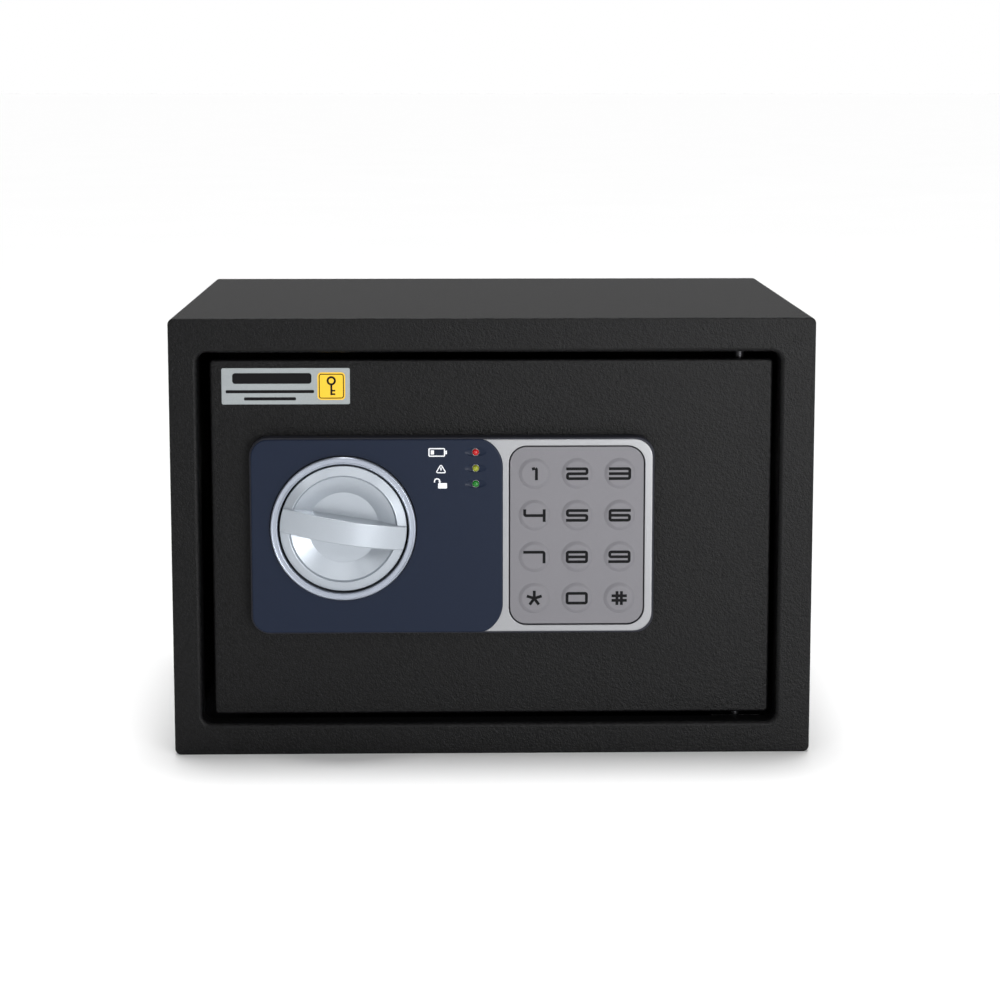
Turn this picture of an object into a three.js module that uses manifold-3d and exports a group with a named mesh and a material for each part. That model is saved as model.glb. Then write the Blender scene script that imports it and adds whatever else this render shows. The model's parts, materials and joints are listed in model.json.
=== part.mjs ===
// An electronic in-room safe: folded steel body, recessed hinged door, knob, keypad and boltwork.
// Millimetres, +Z up. The origin is the centre of the base; the door faces -Y and +X is to its right.
import * as THREE from "three";
import { mergeVertices } from "three/addons/utils/BufferGeometryUtils.js";
import Module from "manifold-3d";

const wasm = await Module();
wasm.setup();

// ---- driving dimensions -------------------------------------------------------------------------
const WIDTH = 310;
const HEIGHT = 214;
const DEPTH = 220;
const FRONT = -DEPTH / 2;
const BACK = DEPTH / 2;
const SHEET = 2; // body sheet
const CLEAR = 0.3; // gap between pieces that touch
const BODY_CORNER = 3;

// the doorway, between the inner faces of the return lip
const OPENING = { left: -141.3, right: 138.2, bottom: 15.4, top: 197.4, corner: 4.5 };
const LIP_DEPTH = 12;
const LIP_SHEET = 1.6;

const DOOR = { left: -136.2, right: 135.5, bottom: 18.1, top: 193.2, corner: 2 };
const DOOR_RECESS = 8;
const DOOR_THICK = 4;
const DOOR_FRONT = FRONT + DOOR_RECESS;
const DOOR_BACK = DOOR_FRONT + DOOR_THICK;

const HINGE = { x: 120, y: DOOR_BACK + 4 };
const PIN_RADIUS = 2.25;

const PANEL = { left: -117, right: 78, bottom: 60.2, top: 156.3, corner: 9 };
const PANEL_FRONT = FRONT;
const PANEL_WALL = 2;
const PANEL_FINE = 8; // segments in each corner of the panel and of the faceplate
const FACEPLATE_RIGHT = 4.9;
const FACEPLATE_SHEET = 0.8;
const FACEPLATE_FRONT = PANEL_FRONT - CLEAR - FACEPLATE_SHEET;

// the rim's crest stands "proud" in front of the faceplate, and the dish sinks behind that crest
const KNOB = { x: -72, z: 112.4, radius: 30.8, dish: 25.6, hub: 17.1, proud: 2.2, sink: 5.8, base: 2 };
const KNOB_TILT = THREE.MathUtils.degToRad(9);
const BEZEL = { inner: 31.3, outer: 35.2, proud: 2.6 };
const GRIP_WIDTH = 11.6;
const GRIP_PROUD = 9; // how far the grip's middle stands in front of its ends

const KEYPAD = { left: 8.3, right: 72.9, bottom: 64.7, top: 151.7, corner: 8 };
const KEY = { radius: 7.6, middleX: 40.7, topZ: 138.6, pitchX: 20.6, pitchZ: 20.4 };
const KEY_NAMES = ["1", "2", "3", "4", "5", "6", "7", "8", "9", "star", "0", "hash"];

const LED = { x: -8.2, radius: 1.6, proud: 0.9, dome: 1.4, tail: 4 };
const LED_HEIGHTS = { led_red: 149.3, led_yellow: 141.5, led_green: 133.9 };

const LABEL = { left: -130.4, right: -68.7, bottom: 171.6, top: 189.2, corner: 0.6 };
const LABEL_SHEET = 0.4;

const BOLT = { radius: 7, y: DOOR_BACK + 8, tip: -134.5, end: -88.3, chamfer: 1.5 };
const BOLT_GUIDE = { left: -128, right: -115, sheet: 2, foot: 8 };
const BOLT_HEIGHTS = { upper: 145, lower: 69 };
const CRANK = {
  radius: 12,
  pin: 2.4,
  sheet: 3,
  wall: 2.4, // metal round the spindle and round the pin
  overhang: 0.8,
  restAngle: THREE.MathUtils.degToRad(40),
};
const BOLT_PER_RADIAN = 11.4; // bolt travel for each radian that the knob turns
const KNOB_TRAVEL = THREE.MathUtils.degToRad(80);
const BOLT_TRAVEL = BOLT_PER_RADIAN * KNOB_TRAVEL;
const CARRIER = {
  sheet: 2,
  left: -88,
  right: -22,
  bottom: 94,
  top: 134,
  reach: 8, // the flange runs this far past each bolt's middle
  slotPlay: 0.45,
  endPlay: 0.7,
  notchDepth: 5,
};
const WEB_FRONT = DOOR_BACK + 10;

const CASE = { left: -112, right: 100, bottom: 44, top: 172, corner: 3, wall: 1.6 };
const CASE_BACK = DOOR_BACK + 44;

const SOLENOID = {
  x: -45,
  y: WEB_FRONT + CARRIER.sheet / 2,
  bottom: 142,
  top: 168,
  coil: 8,
  bore: 2.9,
  sheet: 1.5,
  halfWidth: 11,
  depth: 9,
};
const COIL_CROWN = 3; // thickness of the coil's closed end
const PLUNGER_RADIUS = 2.5;
const PLUNGER_GAP = 0.6; // the raised plunger clears the bolt carrier by this much

const BOARD = { left: -6, right: 84, bottom: 60, top: 150, sheet: 1.6 };
const BOARD_FRONT = DOOR_BACK + 8;

const CELL = { radius: 7.1, length: 49.2, nub: 2.7, nubLength: 1.2, pitch: 15, count: 4 };
const CELLS = { x: 45, y: CASE_BACK - 10.7, z: 107 };
const BATTERY_WALL = 1.2;

const OVERRIDE = { x: -20, z: 82, outer: 9, plug: 5, length: 14 };
const RESET = { x: 88, z: 150, radius: 3, collar: 1.2, depth: 4, proud: 2.6 };
const ANCHOR = { x: 75, radius: 5, floorY: 20 };

const FINE = 40; // sides of a large round shape
const ROUND = 24;
const SMALL = 16;
const TINY = 12;

// ---- materials ----------------------------------------------------------------------------------
function finish(colour, roughness, metalness) {
  return new THREE.MeshStandardMaterial({ color: colour, roughness, metalness });
}
const FINISHES = {
  powder_coat: finish(0x262627, 0.62, 0.1),
  silver_plastic: finish(0xb9bcc4, 0.35, 0.4),
  blue_plastic: finish(0x2b3345, 0.3, 0.0),
  knob_plastic: finish(0xbfc6d0, 0.28, 0.5),
  keypad_film: finish(0x8b8a8f, 0.55, 0.0),
  led_red: finish(0xc0101c, 0.15, 0.0),
  led_yellow: finish(0x8a9412, 0.15, 0.0),
  led_green: finish(0x12801e, 0.15, 0.0),
  label_film: finish(0xa4aaab, 0.45, 0.2),
  felt: finish(0x2c2d30, 0.95, 0.0),
  steel: finish(0xa8abae, 0.35, 0.9),
  zinc: finish(0x9b9c98, 0.45, 0.8),
  brass: finish(0xb58b45, 0.35, 0.9),
  copper: finish(0x9a5a33, 0.45, 0.6),
  case_plastic: finish(0x1d1d1f, 0.6, 0.0),
  board: finish(0x1d5a38, 0.5, 0.0),
  ribbon: finish(0x8d9096, 0.6, 0.0),
  cell_sleeve: finish(0x3b5f86, 0.35, 0.3),
  red_plastic: finish(0x9c1c1c, 0.4, 0.0),
};

// ---- shapes -------------------------------------------------------------------------------------
// Signed volume of an indexed mesh: negative when its faces point inwards.
function signedVolume(positions, triangles) {
  const corners = [new THREE.Vector3(), new THREE.Vector3(), new THREE.Vector3()];
  let volume = 0;
  for (let i = 0; i < triangles.length; i += 3) {
    corners.forEach((corner, k) => corner.fromArray(positions, triangles[i + k] * 3));
    volume += corners[0].dot(corners[1].cross(corners[2])) / 6;
  }
  return volume;
}

// A closed three.js geometry as a manifold solid. Triangles that close up at a turning axis are dropped.
function solidOf(geometry) {
  const bare = geometry.clone();
  bare.deleteAttribute("normal");
  bare.deleteAttribute("uv");
  const merged = mergeVertices(bare, 1e-4);
  const positions = merged.attributes.position.array;
  const triangles = [];
  for (let i = 0; i < merged.index.count; i += 3) {
    const [a, b, c] = merged.index.array.slice(i, i + 3);
    if (a !== b && b !== c && c !== a) {
      triangles.push(a, b, c);
    }
  }
  if (signedVolume(positions, triangles) < 0) {
    triangles.reverse();
  }
  const mesh = new wasm.Mesh({
    numProp: 3,
    vertProperties: Float32Array.from(positions),
    triVerts: Uint32Array.from(triangles),
  });
  return new wasm.Manifold(mesh);
}

function geometryOf(solid) {
  const mesh = solid.getMesh();
  const geometry = new THREE.BufferGeometry();
  geometry.setAttribute("position", new THREE.BufferAttribute(mesh.vertProperties, 3));
  geometry.setIndex(new THREE.BufferAttribute(mesh.triVerts, 1));
  geometry.computeVertexNormals();
  return geometry;
}

function join(...solids) {
  return solids.reduce((all, next) => all.add(next));
}

function cut(solid, ...tools) {
  return tools.reduce((left, tool) => left.subtract(tool), solid);
}

// An upright rectangle in the XZ plane with round corners, drawn as a shape in its own X and Y.
function roundedRectangle({ left, right, bottom, top, corner }) {
  const shape = new THREE.Shape();
  shape.moveTo(left + corner, bottom);
  shape.lineTo(right - corner, bottom);
  shape.absarc(right - corner, bottom + corner, corner, -Math.PI / 2, 0);
  shape.lineTo(right, top - corner);
  shape.absarc(right - corner, top - corner, corner, 0, Math.PI / 2);
  shape.lineTo(left + corner, top);
  shape.absarc(left + corner, top - corner, corner, Math.PI / 2, Math.PI);
  shape.lineTo(left, bottom + corner);
  shape.absarc(left + corner, bottom + corner, corner, Math.PI, Math.PI * 1.5);
  return shape;
}

function grow(rectangle, by) {
  return {
    left: rectangle.left - by,
    right: rectangle.right + by,
    bottom: rectangle.bottom - by,
    top: rectangle.top + by,
    corner: Math.max(0.4, rectangle.corner + by),
  };
}

// A shape of the XZ plane, extruded from the plane y = front back to y = back.
function slab(shape, front, back, curveSegments = 4) {
  const options = { depth: back - front, bevelEnabled: false, curveSegments };
  const geometry = new THREE.ExtrudeGeometry(shape, options);
  geometry.rotateX(Math.PI / 2);
  geometry.translate(0, back, 0);
  return solidOf(geometry);
}

function plate(rectangle, front, back, curveSegments = 4) {
  return slab(roundedRectangle(rectangle), front, back, curveSegments);
}

function block(left, right, front, back, bottom, top) {
  const geometry = new THREE.BoxGeometry(right - left, back - front, top - bottom);
  geometry.translate((left + right) / 2, (front + back) / 2, (bottom + top) / 2);
  return solidOf(geometry);
}

// Rods along Y, X and Z, placed by their middle line.
function rodY(x, z, radius, front, back, sides = SMALL) {
  const geometry = new THREE.CylinderGeometry(radius, radius, back - front, sides);
  geometry.translate(x, (front + back) / 2, z);
  return solidOf(geometry);
}

function rodX(y, z, radius, left, right, sides = SMALL) {
  const geometry = new THREE.CylinderGeometry(radius, radius, right - left, sides);
  geometry.rotateZ(Math.PI / 2);
  geometry.translate((left + right) / 2, y, z);
  return solidOf(geometry);
}

function rodZ(x, y, radius, bottom, top, sides = SMALL) {
  const geometry = new THREE.CylinderGeometry(radius, radius, top - bottom, sides);
  geometry.rotateX(Math.PI / 2);
  geometry.translate(x, y, (bottom + top) / 2);
  return solidOf(geometry);
}

// A turned shape about the line along Y through (x, z): profile points are [radius, y], front to back.
function turnedY(x, z, profile, sides = FINE) {
  const points = profile.map(([radius, y]) => new THREE.Vector2(radius, y));
  const geometry = new THREE.LatheGeometry(points, sides);
  geometry.translate(x, 0, z);
  return solidOf(geometry);
}

const safe = new THREE.Group();

function add(group, name, finishName, solid) {
  const mesh = new THREE.Mesh(geometryOf(solid), FINISHES[finishName]);
  mesh.name = name;
  group.add(mesh);
}

// ---- body: everything that stays with the wall or shelf that the safe is fixed to -----------------
const body = new THREE.Group();
safe.add(body);

const OUTLINE = { left: -WIDTH / 2, right: WIDTH / 2, bottom: 0, top: HEIGHT, corner: BODY_CORNER };
const INSIDE = grow(OUTLINE, -SHEET);
const LIP_BACK = FRONT + LIP_DEPTH;
const SIDES = [-1, 1];

function bodyWrap() {
  const front = FRONT + SHEET + CLEAR;
  const back = BACK - SHEET - CLEAR;
  const sleeve = cut(plate(OUTLINE, front, back, 6), plate(INSIDE, front - 1, back + 1, 3));
  const holes = SIDES.map((side) => rodZ(side * ANCHOR.x, ANCHOR.floorY, ANCHOR.radius, -1, SHEET + 1));
  return cut(sleeve, ...holes);
}

function frontFrame() {
  const flange = plate(OUTLINE, FRONT, FRONT + SHEET, 6);
  const lip = plate(grow(OPENING, LIP_SHEET), FRONT + SHEET / 2, LIP_BACK, 6);
  return cut(join(flange, lip), plate(OPENING, FRONT - 1, LIP_BACK + 1, 6));
}

function backPanel() {
  const holes = SIDES.map((side) => {
    return rodY(side * ANCHOR.x, HEIGHT / 2, ANCHOR.radius, BACK - SHEET - 1, BACK + 1);
  });
  return cut(plate(OUTLINE, BACK - SHEET, BACK, 6), ...holes);
}

const MAT = { left: -150, right: 150, front: -84, back: 105, thick: 2, holeRadius: 8 };

function floorMat() {
  const bottom = SHEET + CLEAR;
  const sheet = block(MAT.left, MAT.right, MAT.front, MAT.back, bottom, bottom + MAT.thick);
  const holes = SIDES.map((side) => rodZ(side * ANCHOR.x, ANCHOR.floorY, MAT.holeRadius, 0, HEIGHT / 4));
  return cut(sheet, ...holes);
}

add(body, "body_wrap", "powder_coat", bodyWrap());
add(body, "front_frame", "powder_coat", frontFrame());
add(body, "back_panel", "powder_coat", backPanel());
add(body, "floor_mat", "felt", floorMat());

// ---- hinges: a bracket and a pin on the body, and a leaf with a bore on the door, top and bottom ----
const BRACKET = { halfWidth: 12, sheet: 2.5, reach: 8, upright: 2 };
const LEAF = { halfWidth: 8, depth: 9.7, height: 12.5, inset: 0.3 };
const PIN_HEAD = { radius: 4, height: 1.8 };
const PIN_SHORT = 2; // the pin ends this far inside the leaf's bore
const TAB_DROP = 0.9; // the upper tab hangs this far below the lip, closer to the leaf

// z of each hinge piece from the doorway outwards; "out" points away from the door's middle.
const HINGES = {
  upper: {
    out: 1,
    tab: OPENING.top - TAB_DROP,
    leaf: DOOR.top - LEAF.inset,
    wall: HEIGHT - SHEET - CLEAR,
  },
  lower: { out: -1, tab: OPENING.bottom, leaf: DOOR.bottom + LEAF.inset, wall: SHEET + CLEAR },
};

function blockBetween(left, right, front, back, z1, z2) {
  return block(left, right, front, back, Math.min(z1, z2), Math.max(z1, z2));
}

function rodBetween(x, y, radius, z1, z2, sides = SMALL) {
  return rodZ(x, y, radius, Math.min(z1, z2), Math.max(z1, z2), sides);
}

function hingeBracket({ out, tab, wall }) {
  const left = HINGE.x - BRACKET.halfWidth;
  const right = HINGE.x + BRACKET.halfWidth;
  const back = HINGE.y + BRACKET.reach;
  const front = LIP_BACK + CLEAR;
  const shelf = blockBetween(left, right, front, back, tab, tab + out * BRACKET.sheet);
  const upright = blockBetween(left, right, back - BRACKET.upright, back, tab, wall);
  const holeEnd = tab + out * (BRACKET.sheet + 1);
  const hole = rodBetween(HINGE.x, HINGE.y, PIN_RADIUS + CLEAR, tab - out, holeEnd);
  return cut(join(shelf, upright), hole);
}

function hingePin({ out, tab, leaf }) {
  const headStart = tab + out * (BRACKET.sheet + CLEAR);
  const headEnd = headStart + out * PIN_HEAD.height;
  const shankEnd = leaf - out * (LEAF.height - PIN_SHORT);
  const shank = rodBetween(HINGE.x, HINGE.y, PIN_RADIUS, shankEnd, headEnd);
  return join(shank, rodBetween(HINGE.x, HINGE.y, PIN_HEAD.radius, headStart, headEnd));
}

function hingeLeaf({ out, leaf }) {
  const left = HINGE.x - LEAF.halfWidth;
  const right = HINGE.x + LEAF.halfWidth;
  const front = DOOR_BACK + CLEAR;
  const inner = leaf - out * LEAF.height;
  const solid = blockBetween(left, right, front, front + LEAF.depth, leaf, inner);
  return cut(solid, rodBetween(HINGE.x, HINGE.y, PIN_RADIUS + CLEAR, leaf + out, inner - out));
}

const door = new THREE.Group();
safe.add(door);

for (const [end, place] of Object.entries(HINGES)) {
  add(body, `hinge_bracket_${end}`, "powder_coat", hingeBracket(place));
  add(body, `hinge_pin_${end}`, "steel", hingePin(place));
  add(door, `hinge_leaf_${end}`, "powder_coat", hingeLeaf(place));
}

// ---- door plate ---------------------------------------------------------------------------------
const SPINDLE = { radius: 4, front: -105.2, back: -91.7 };
const SCREW = { head: 3.2, headHeight: 2, shank: 1.4, grip: 3.6, pilot: 2.5 };
const SCREW_CROSS = { halfLength: 2.2, halfWidth: 0.4, depth: 1 };
const EAR = { halfWidth: 7, height: 10, sheet: 1.6, left: CASE.left + 17, right: CASE.right - 20 };
const EAR_HEIGHTS = [CASE.top + EAR.height / 2, CASE.bottom - EAR.height / 2];
const SCREW_PLACES = EAR_HEIGHTS.flatMap((z) => [
  { x: EAR.left, z },
  { x: EAR.right, z },
]);
const RIBBON = { left: 33, right: 47, z: 72, sheet: 0.8, clearance: 2 };

function doorPlate() {
  const front = DOOR_FRONT - 1;
  const back = DOOR_BACK + 1;
  const { left, right, z: middle, clearance: gap } = RIBBON;
  const slot = block(left - gap, right + gap, front, back, middle - gap, middle + gap);
  const pilots = SCREW_PLACES.map(({ x, z }) => {
    return rodY(x, z, SCREW.shank + CLEAR, DOOR_BACK - SCREW.pilot, back, TINY);
  });
  return cut(
    plate(DOOR, DOOR_FRONT, DOOR_BACK, 3),
    rodY(KNOB.x, KNOB.z, SPINDLE.radius + 1, front, back),
    rodY(OVERRIDE.x, OVERRIDE.z, OVERRIDE.outer + CLEAR, front, back, ROUND),
    slot,
    ...pilots,
  );
}

add(door, "door_plate", "powder_coat", doorPlate());
add(door, "label", "label_film", plate(LABEL, DOOR_FRONT - CLEAR - LABEL_SHEET, DOOR_FRONT - CLEAR, 2));

// ---- control panel ------------------------------------------------------------------------------
const PANEL_BACK = DOOR_FRONT - CLEAR;
const KEY_FRONT = PANEL_FRONT - 0.6;
const KEY_BACK = PANEL_FRONT + 3;
const KEY_GAP = 0.25;
const KEY_COLUMNS = 3;

function ledHoles(front, back) {
  return Object.values(LED_HEIGHTS).map((z) => rodY(LED.x, z, LED.radius + CLEAR, front, back, TINY));
}

function keyPlace(index) {
  const column = (index % KEY_COLUMNS) - 1;
  const row = Math.floor(index / KEY_COLUMNS);
  return { x: KEY.middleX + column * KEY.pitchX, z: KEY.topZ - row * KEY.pitchZ };
}

function panelHousing() {
  const shell = cut(
    plate(PANEL, PANEL_FRONT, PANEL_BACK, PANEL_FINE),
    plate(grow(PANEL, -PANEL_WALL), PANEL_FRONT + PANEL_WALL, PANEL_BACK + 1, 6),
  );
  const front = PANEL_FRONT - 1;
  const back = PANEL_BACK + 1;
  return cut(
    shell,
    rodY(KNOB.x, KNOB.z, BEZEL.outer + CLEAR, front, back, FINE),
    rodY(OVERRIDE.x, OVERRIDE.z, OVERRIDE.outer + CLEAR, front, back, ROUND),
    plate(grow(KEYPAD, CLEAR), front, back, 6),
    ...ledHoles(front, back),
  );
}

// The faceplate's right side ends in two swept corners that leave the housing showing beside the keypad.
function faceplateOutline() {
  const { left, bottom, top, corner } = PANEL;
  const sweep = { width: 11, upper: 13.5, lower: 14 };
  const right = FACEPLATE_RIGHT;
  const start = right - sweep.width;
  const middle = right - sweep.width / 2;
  const low = bottom + sweep.lower;
  const high = top - sweep.upper;
  const shape = new THREE.Shape();
  shape.moveTo(left + corner, bottom);
  shape.lineTo(start, bottom);
  shape.bezierCurveTo(middle, bottom, right, (bottom + low) / 2, right, low);
  shape.lineTo(right, high);
  shape.bezierCurveTo(right, (high + top) / 2, middle, top, start, top);
  shape.lineTo(left + corner, top);
  shape.absarc(left + corner, top - corner, corner, Math.PI / 2, Math.PI);
  shape.lineTo(left, bottom + corner);
  shape.absarc(left + corner, bottom + corner, corner, Math.PI, Math.PI * 1.5);
  return shape;
}

function faceplate() {
  const front = FACEPLATE_FRONT - 1;
  const back = PANEL_FRONT;
  return cut(
    slab(faceplateOutline(), FACEPLATE_FRONT, FACEPLATE_FRONT + FACEPLATE_SHEET, PANEL_FINE),
    rodY(KNOB.x, KNOB.z, BEZEL.outer + CLEAR, front, back, FINE),
    ...ledHoles(front, back),
  );
}

function knobBezel() {
  const { inner, outer, proud } = BEZEL;
  const front = FACEPLATE_FRONT - proud;
  const back = PANEL_BACK;
  return turnedY(KNOB.x, KNOB.z, [
    [inner, back],
    [inner, front + 0.8],
    [inner + 1, front],
    [outer - 1.6, front],
    [outer, front + 1.4],
    [outer, back],
    [inner, back],
  ]);
}

function ledLens(z) {
  const front = FACEPLATE_FRONT - LED.proud;
  const back = PANEL_FRONT + LED.tail;
  return turnedY(LED.x, z, [
    [0, front],
    [LED.radius * 0.7, front + LED.dome * 0.35],
    [LED.radius, front + LED.dome],
    [LED.radius, back],
    [0, back],
  ], TINY);
}

function keypadMat() {
  const holes = KEY_NAMES.map((_, index) => {
    const { x, z } = keyPlace(index);
    return rodY(x, z, KEY.radius + KEY_GAP, PANEL_FRONT - 1, KEY_BACK + 1, ROUND);
  });
  return cut(plate(KEYPAD, PANEL_FRONT, KEY_BACK, 6), ...holes);
}

add(door, "panel_housing", "silver_plastic", panelHousing());
add(door, "faceplate", "blue_plastic", faceplate());
add(door, "knob_bezel", "silver_plastic", knobBezel());
for (const [name, z] of Object.entries(LED_HEIGHTS)) {
  add(door, name, name, ledLens(z));
}
add(door, "keypad_mat", "keypad_film", keypadMat());
KEY_NAMES.forEach((name, index) => {
  const { x, z } = keyPlace(index);
  add(safe, `key_${name}`, "keypad_film", rodY(x, z, KEY.radius, KEY_FRONT, KEY_BACK, ROUND));
});

// ---- electronics --------------------------------------------------------------------------------
const KEYPAD_BOARD = { front: PANEL_FRONT + 5, sheet: 1.2, inset: 2 };

function keypadBoard() {
  const { left, right, bottom, top } = grow(KEYPAD, -KEYPAD_BOARD.inset);
  return block(left, right, KEYPAD_BOARD.front, KEYPAD_BOARD.front + KEYPAD_BOARD.sheet, bottom, top);
}

function ribbonCable() {
  const front = KEYPAD_BOARD.front + KEYPAD_BOARD.sheet + CLEAR;
  const half = RIBBON.sheet / 2;
  return block(RIBBON.left, RIBBON.right, front, BOARD_FRONT - CLEAR, RIBBON.z - half, RIBBON.z + half);
}

add(door, "keypad_board", "board", keypadBoard());
add(door, "ribbon_cable", "ribbon", ribbonCable());
add(door, "circuit_board", "board",
  block(BOARD.left, BOARD.right, BOARD_FRONT, BOARD_FRONT + BOARD.sheet, BOARD.bottom, BOARD.top));

// ---- knob, spindle and crank: they turn together ---------------------------------------------------
const knobGroup = new THREE.Group();
safe.add(knobGroup);

function knobTop() {
  const rim = FACEPLATE_FRONT - KNOB.proud;
  const floor = rim + KNOB.sink;
  const back = floor + KNOB.base;
  const dished = turnedY(KNOB.x, KNOB.z, [
    [0, floor],
    [KNOB.hub, floor],
    [KNOB.dish, rim + 1.4],
    [KNOB.dish + 0.6, rim + 0.5],
    [KNOB.radius - 0.8, rim],
    [KNOB.radius, rim + 0.8],
    [KNOB.radius, back],
    [0, back],
  ]);
  const grip = new THREE.Shape();
  grip.moveTo(-KNOB.radius, back);
  grip.lineTo(-KNOB.radius, rim);
  grip.quadraticCurveTo(0, rim - 2 * GRIP_PROUD, KNOB.radius, rim);
  grip.lineTo(KNOB.radius, back);
  grip.closePath();
  const options = { depth: GRIP_WIDTH, bevelEnabled: false, curveSegments: 16 };
  const bar = new THREE.ExtrudeGeometry(grip, options);
  bar.translate(0, 0, -GRIP_WIDTH / 2);
  bar.rotateY(KNOB_TILT);
  bar.translate(KNOB.x, 0, KNOB.z);
  const trim = rodY(KNOB.x, KNOB.z, KNOB.radius - 0.3, rim - 2 * GRIP_PROUD, back, FINE);
  return join(dished, solidOf(bar).intersect(trim));
}

const PIN_PLACE = {
  x: KNOB.x + CRANK.radius * Math.sin(CRANK.restAngle),
  z: KNOB.z + CRANK.radius * Math.cos(CRANK.restAngle),
};

function crank() {
  const { pin: pinRadius, sheet, wall, overhang } = CRANK;
  const front = DOOR_BACK + 3;
  const back = front + sheet;
  const pinEnd = WEB_FRONT + CARRIER.sheet + overhang;
  const hub = rodY(KNOB.x, KNOB.z, SPINDLE.radius + wall, front, back);
  const end = rodY(PIN_PLACE.x, PIN_PLACE.z, pinRadius + wall, front, back);
  const pin = rodY(PIN_PLACE.x, PIN_PLACE.z, pinRadius, back - 1, pinEnd);
  const bore = rodY(KNOB.x, KNOB.z, SPINDLE.radius + CLEAR, front - 1, back + 1);
  return cut(join(hub.add(end).hull(), pin), bore);
}

add(knobGroup, "knob", "knob_plastic", knobTop());
add(knobGroup, "spindle", "steel", rodY(KNOB.x, KNOB.z, SPINDLE.radius, SPINDLE.front, SPINDLE.back));
add(knobGroup, "crank", "zinc", crank());

// ---- boltwork -----------------------------------------------------------------------------------
const boltwork = new THREE.Group();
safe.add(boltwork);

// A flange that carries both bolts, and a web with the crank's slot and two notches for the plunger.
function boltCarrier() {
  const { sheet, left, right, bottom, top, reach, slotPlay, endPlay, notchDepth } = CARRIER;
  const webBack = WEB_FRONT + sheet;
  const flangeBottom = BOLT_HEIGHTS.lower - reach;
  const flangeTop = BOLT_HEIGHTS.upper + reach;
  const flange = block(left, left + sheet, DOOR_BACK + 2, webBack, flangeBottom, flangeTop);
  const web = block(left, right, WEB_FRONT, webBack, bottom, top);
  const front = WEB_FRONT - 1;
  const back = webBack + 1;
  const slotX = KNOB.x + BOLT_PER_RADIAN * CRANK.restAngle;
  const slotHalf = CRANK.pin + slotPlay;
  const slotEnd = CRANK.pin + endPlay;
  const slotBottom = PIN_PLACE.z - slotEnd;
  const slotTop = KNOB.z + CRANK.radius + slotEnd;
  const slot = block(slotX - slotHalf, slotX + slotHalf, front, back, slotBottom, slotTop);
  const notchHalf = PLUNGER_RADIUS + endPlay;
  const notches = [0, BOLT_TRAVEL].map((along) => {
    const middle = SOLENOID.x + along;
    return block(middle - notchHalf, middle + notchHalf, front, back, top - notchDepth, top + 1);
  });
  return cut(join(flange, web), slot, ...notches);
}

function bolt(z) {
  const { radius: full, tip, end, chamfer } = BOLT;
  const points = [
    [0, tip],
    [full - chamfer, tip],
    [full, tip + chamfer],
    [full, end],
    [0, end],
  ].map(([radius, along]) => new THREE.Vector2(radius, along));
  const geometry = new THREE.LatheGeometry(points, ROUND);
  geometry.rotateZ(-Math.PI / 2);
  geometry.translate(0, BOLT.y, z);
  return solidOf(geometry);
}

// A strap over the bolt, open towards the door plate, with two feet against the plate.
function boltGuide(z) {
  const guide = BOLT_GUIDE;
  const bore = BOLT.radius + CLEAR;
  const outer = bore + guide.sheet;
  const front = DOOR_BACK + CLEAR;
  const arch = rodX(BOLT.y, z, outer, guide.left, guide.right, ROUND);
  const cheeks = block(guide.left, guide.right, front, BOLT.y, z - outer, z + outer);
  const reach = outer + guide.foot;
  const feet = block(guide.left, guide.right, front, front + guide.sheet, z - reach, z + reach);
  const left = guide.left - 1;
  const right = guide.right + 1;
  return cut(
    join(arch, cheeks, feet),
    rodX(BOLT.y, z, bore, left, right, ROUND),
    block(left, right, front - outer, BOLT.y, z - bore, z + bore),
  );
}

add(boltwork, "bolt_carrier", "zinc", boltCarrier());
for (const [end, z] of Object.entries(BOLT_HEIGHTS)) {
  add(boltwork, `bolt_${end}`, "steel", bolt(z));
  add(door, `bolt_guide_${end}`, "zinc", boltGuide(z));
}

// ---- solenoid -----------------------------------------------------------------------------------
function solenoidFrame() {
  const { x, y, bottom, top, bore, sheet, halfWidth, depth } = SOLENOID;
  const left = x - halfWidth;
  const right = x + halfWidth;
  const front = DOOR_BACK + CLEAR;
  const back = y + depth;
  const sides = [
    block(left, right, front, front + sheet, bottom, top),
    block(left, right, front, back, bottom, bottom + sheet),
    block(left, right, front, back, top - sheet, top),
  ];
  return cut(join(...sides), rodZ(x, y, bore + CLEAR, bottom - 1, bottom + sheet + 1));
}

function solenoidCoil() {
  const { x, y, bottom, top, coil, bore, sheet } = SOLENOID;
  const low = bottom + sheet + CLEAR;
  const high = top - sheet - CLEAR;
  return cut(rodZ(x, y, coil, low, high, ROUND), rodZ(x, y, bore, low - 1, high - COIL_CROWN));
}

function plunger() {
  const { x, y, top } = SOLENOID;
  return rodZ(x, y, PLUNGER_RADIUS, CARRIER.top + PLUNGER_GAP, top - COIL_CROWN * 2);
}

add(door, "solenoid_frame", "steel", solenoidFrame());
add(door, "solenoid_coil", "copper", solenoidCoil());
add(safe, "plunger", "steel", plunger());

// ---- override lock ------------------------------------------------------------------------------
const PLUG = { front: PANEL_FRONT + 0.4, back: DOOR_BACK + 18, camLength: 16, camHalf: 2.5, camSheet: 2 };
const KEYWAY = { halfWidth: 0.6, halfHeight: 3.2, depth: 8 };

function overrideCylinder() {
  const back = DOOR_BACK + OVERRIDE.length;
  const barrel = rodY(OVERRIDE.x, OVERRIDE.z, OVERRIDE.outer, PANEL_FRONT, back, ROUND);
  const bore = rodY(OVERRIDE.x, OVERRIDE.z, OVERRIDE.plug + CLEAR, PANEL_FRONT - 1, back + 1, ROUND);
  return cut(barrel, bore);
}

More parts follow.
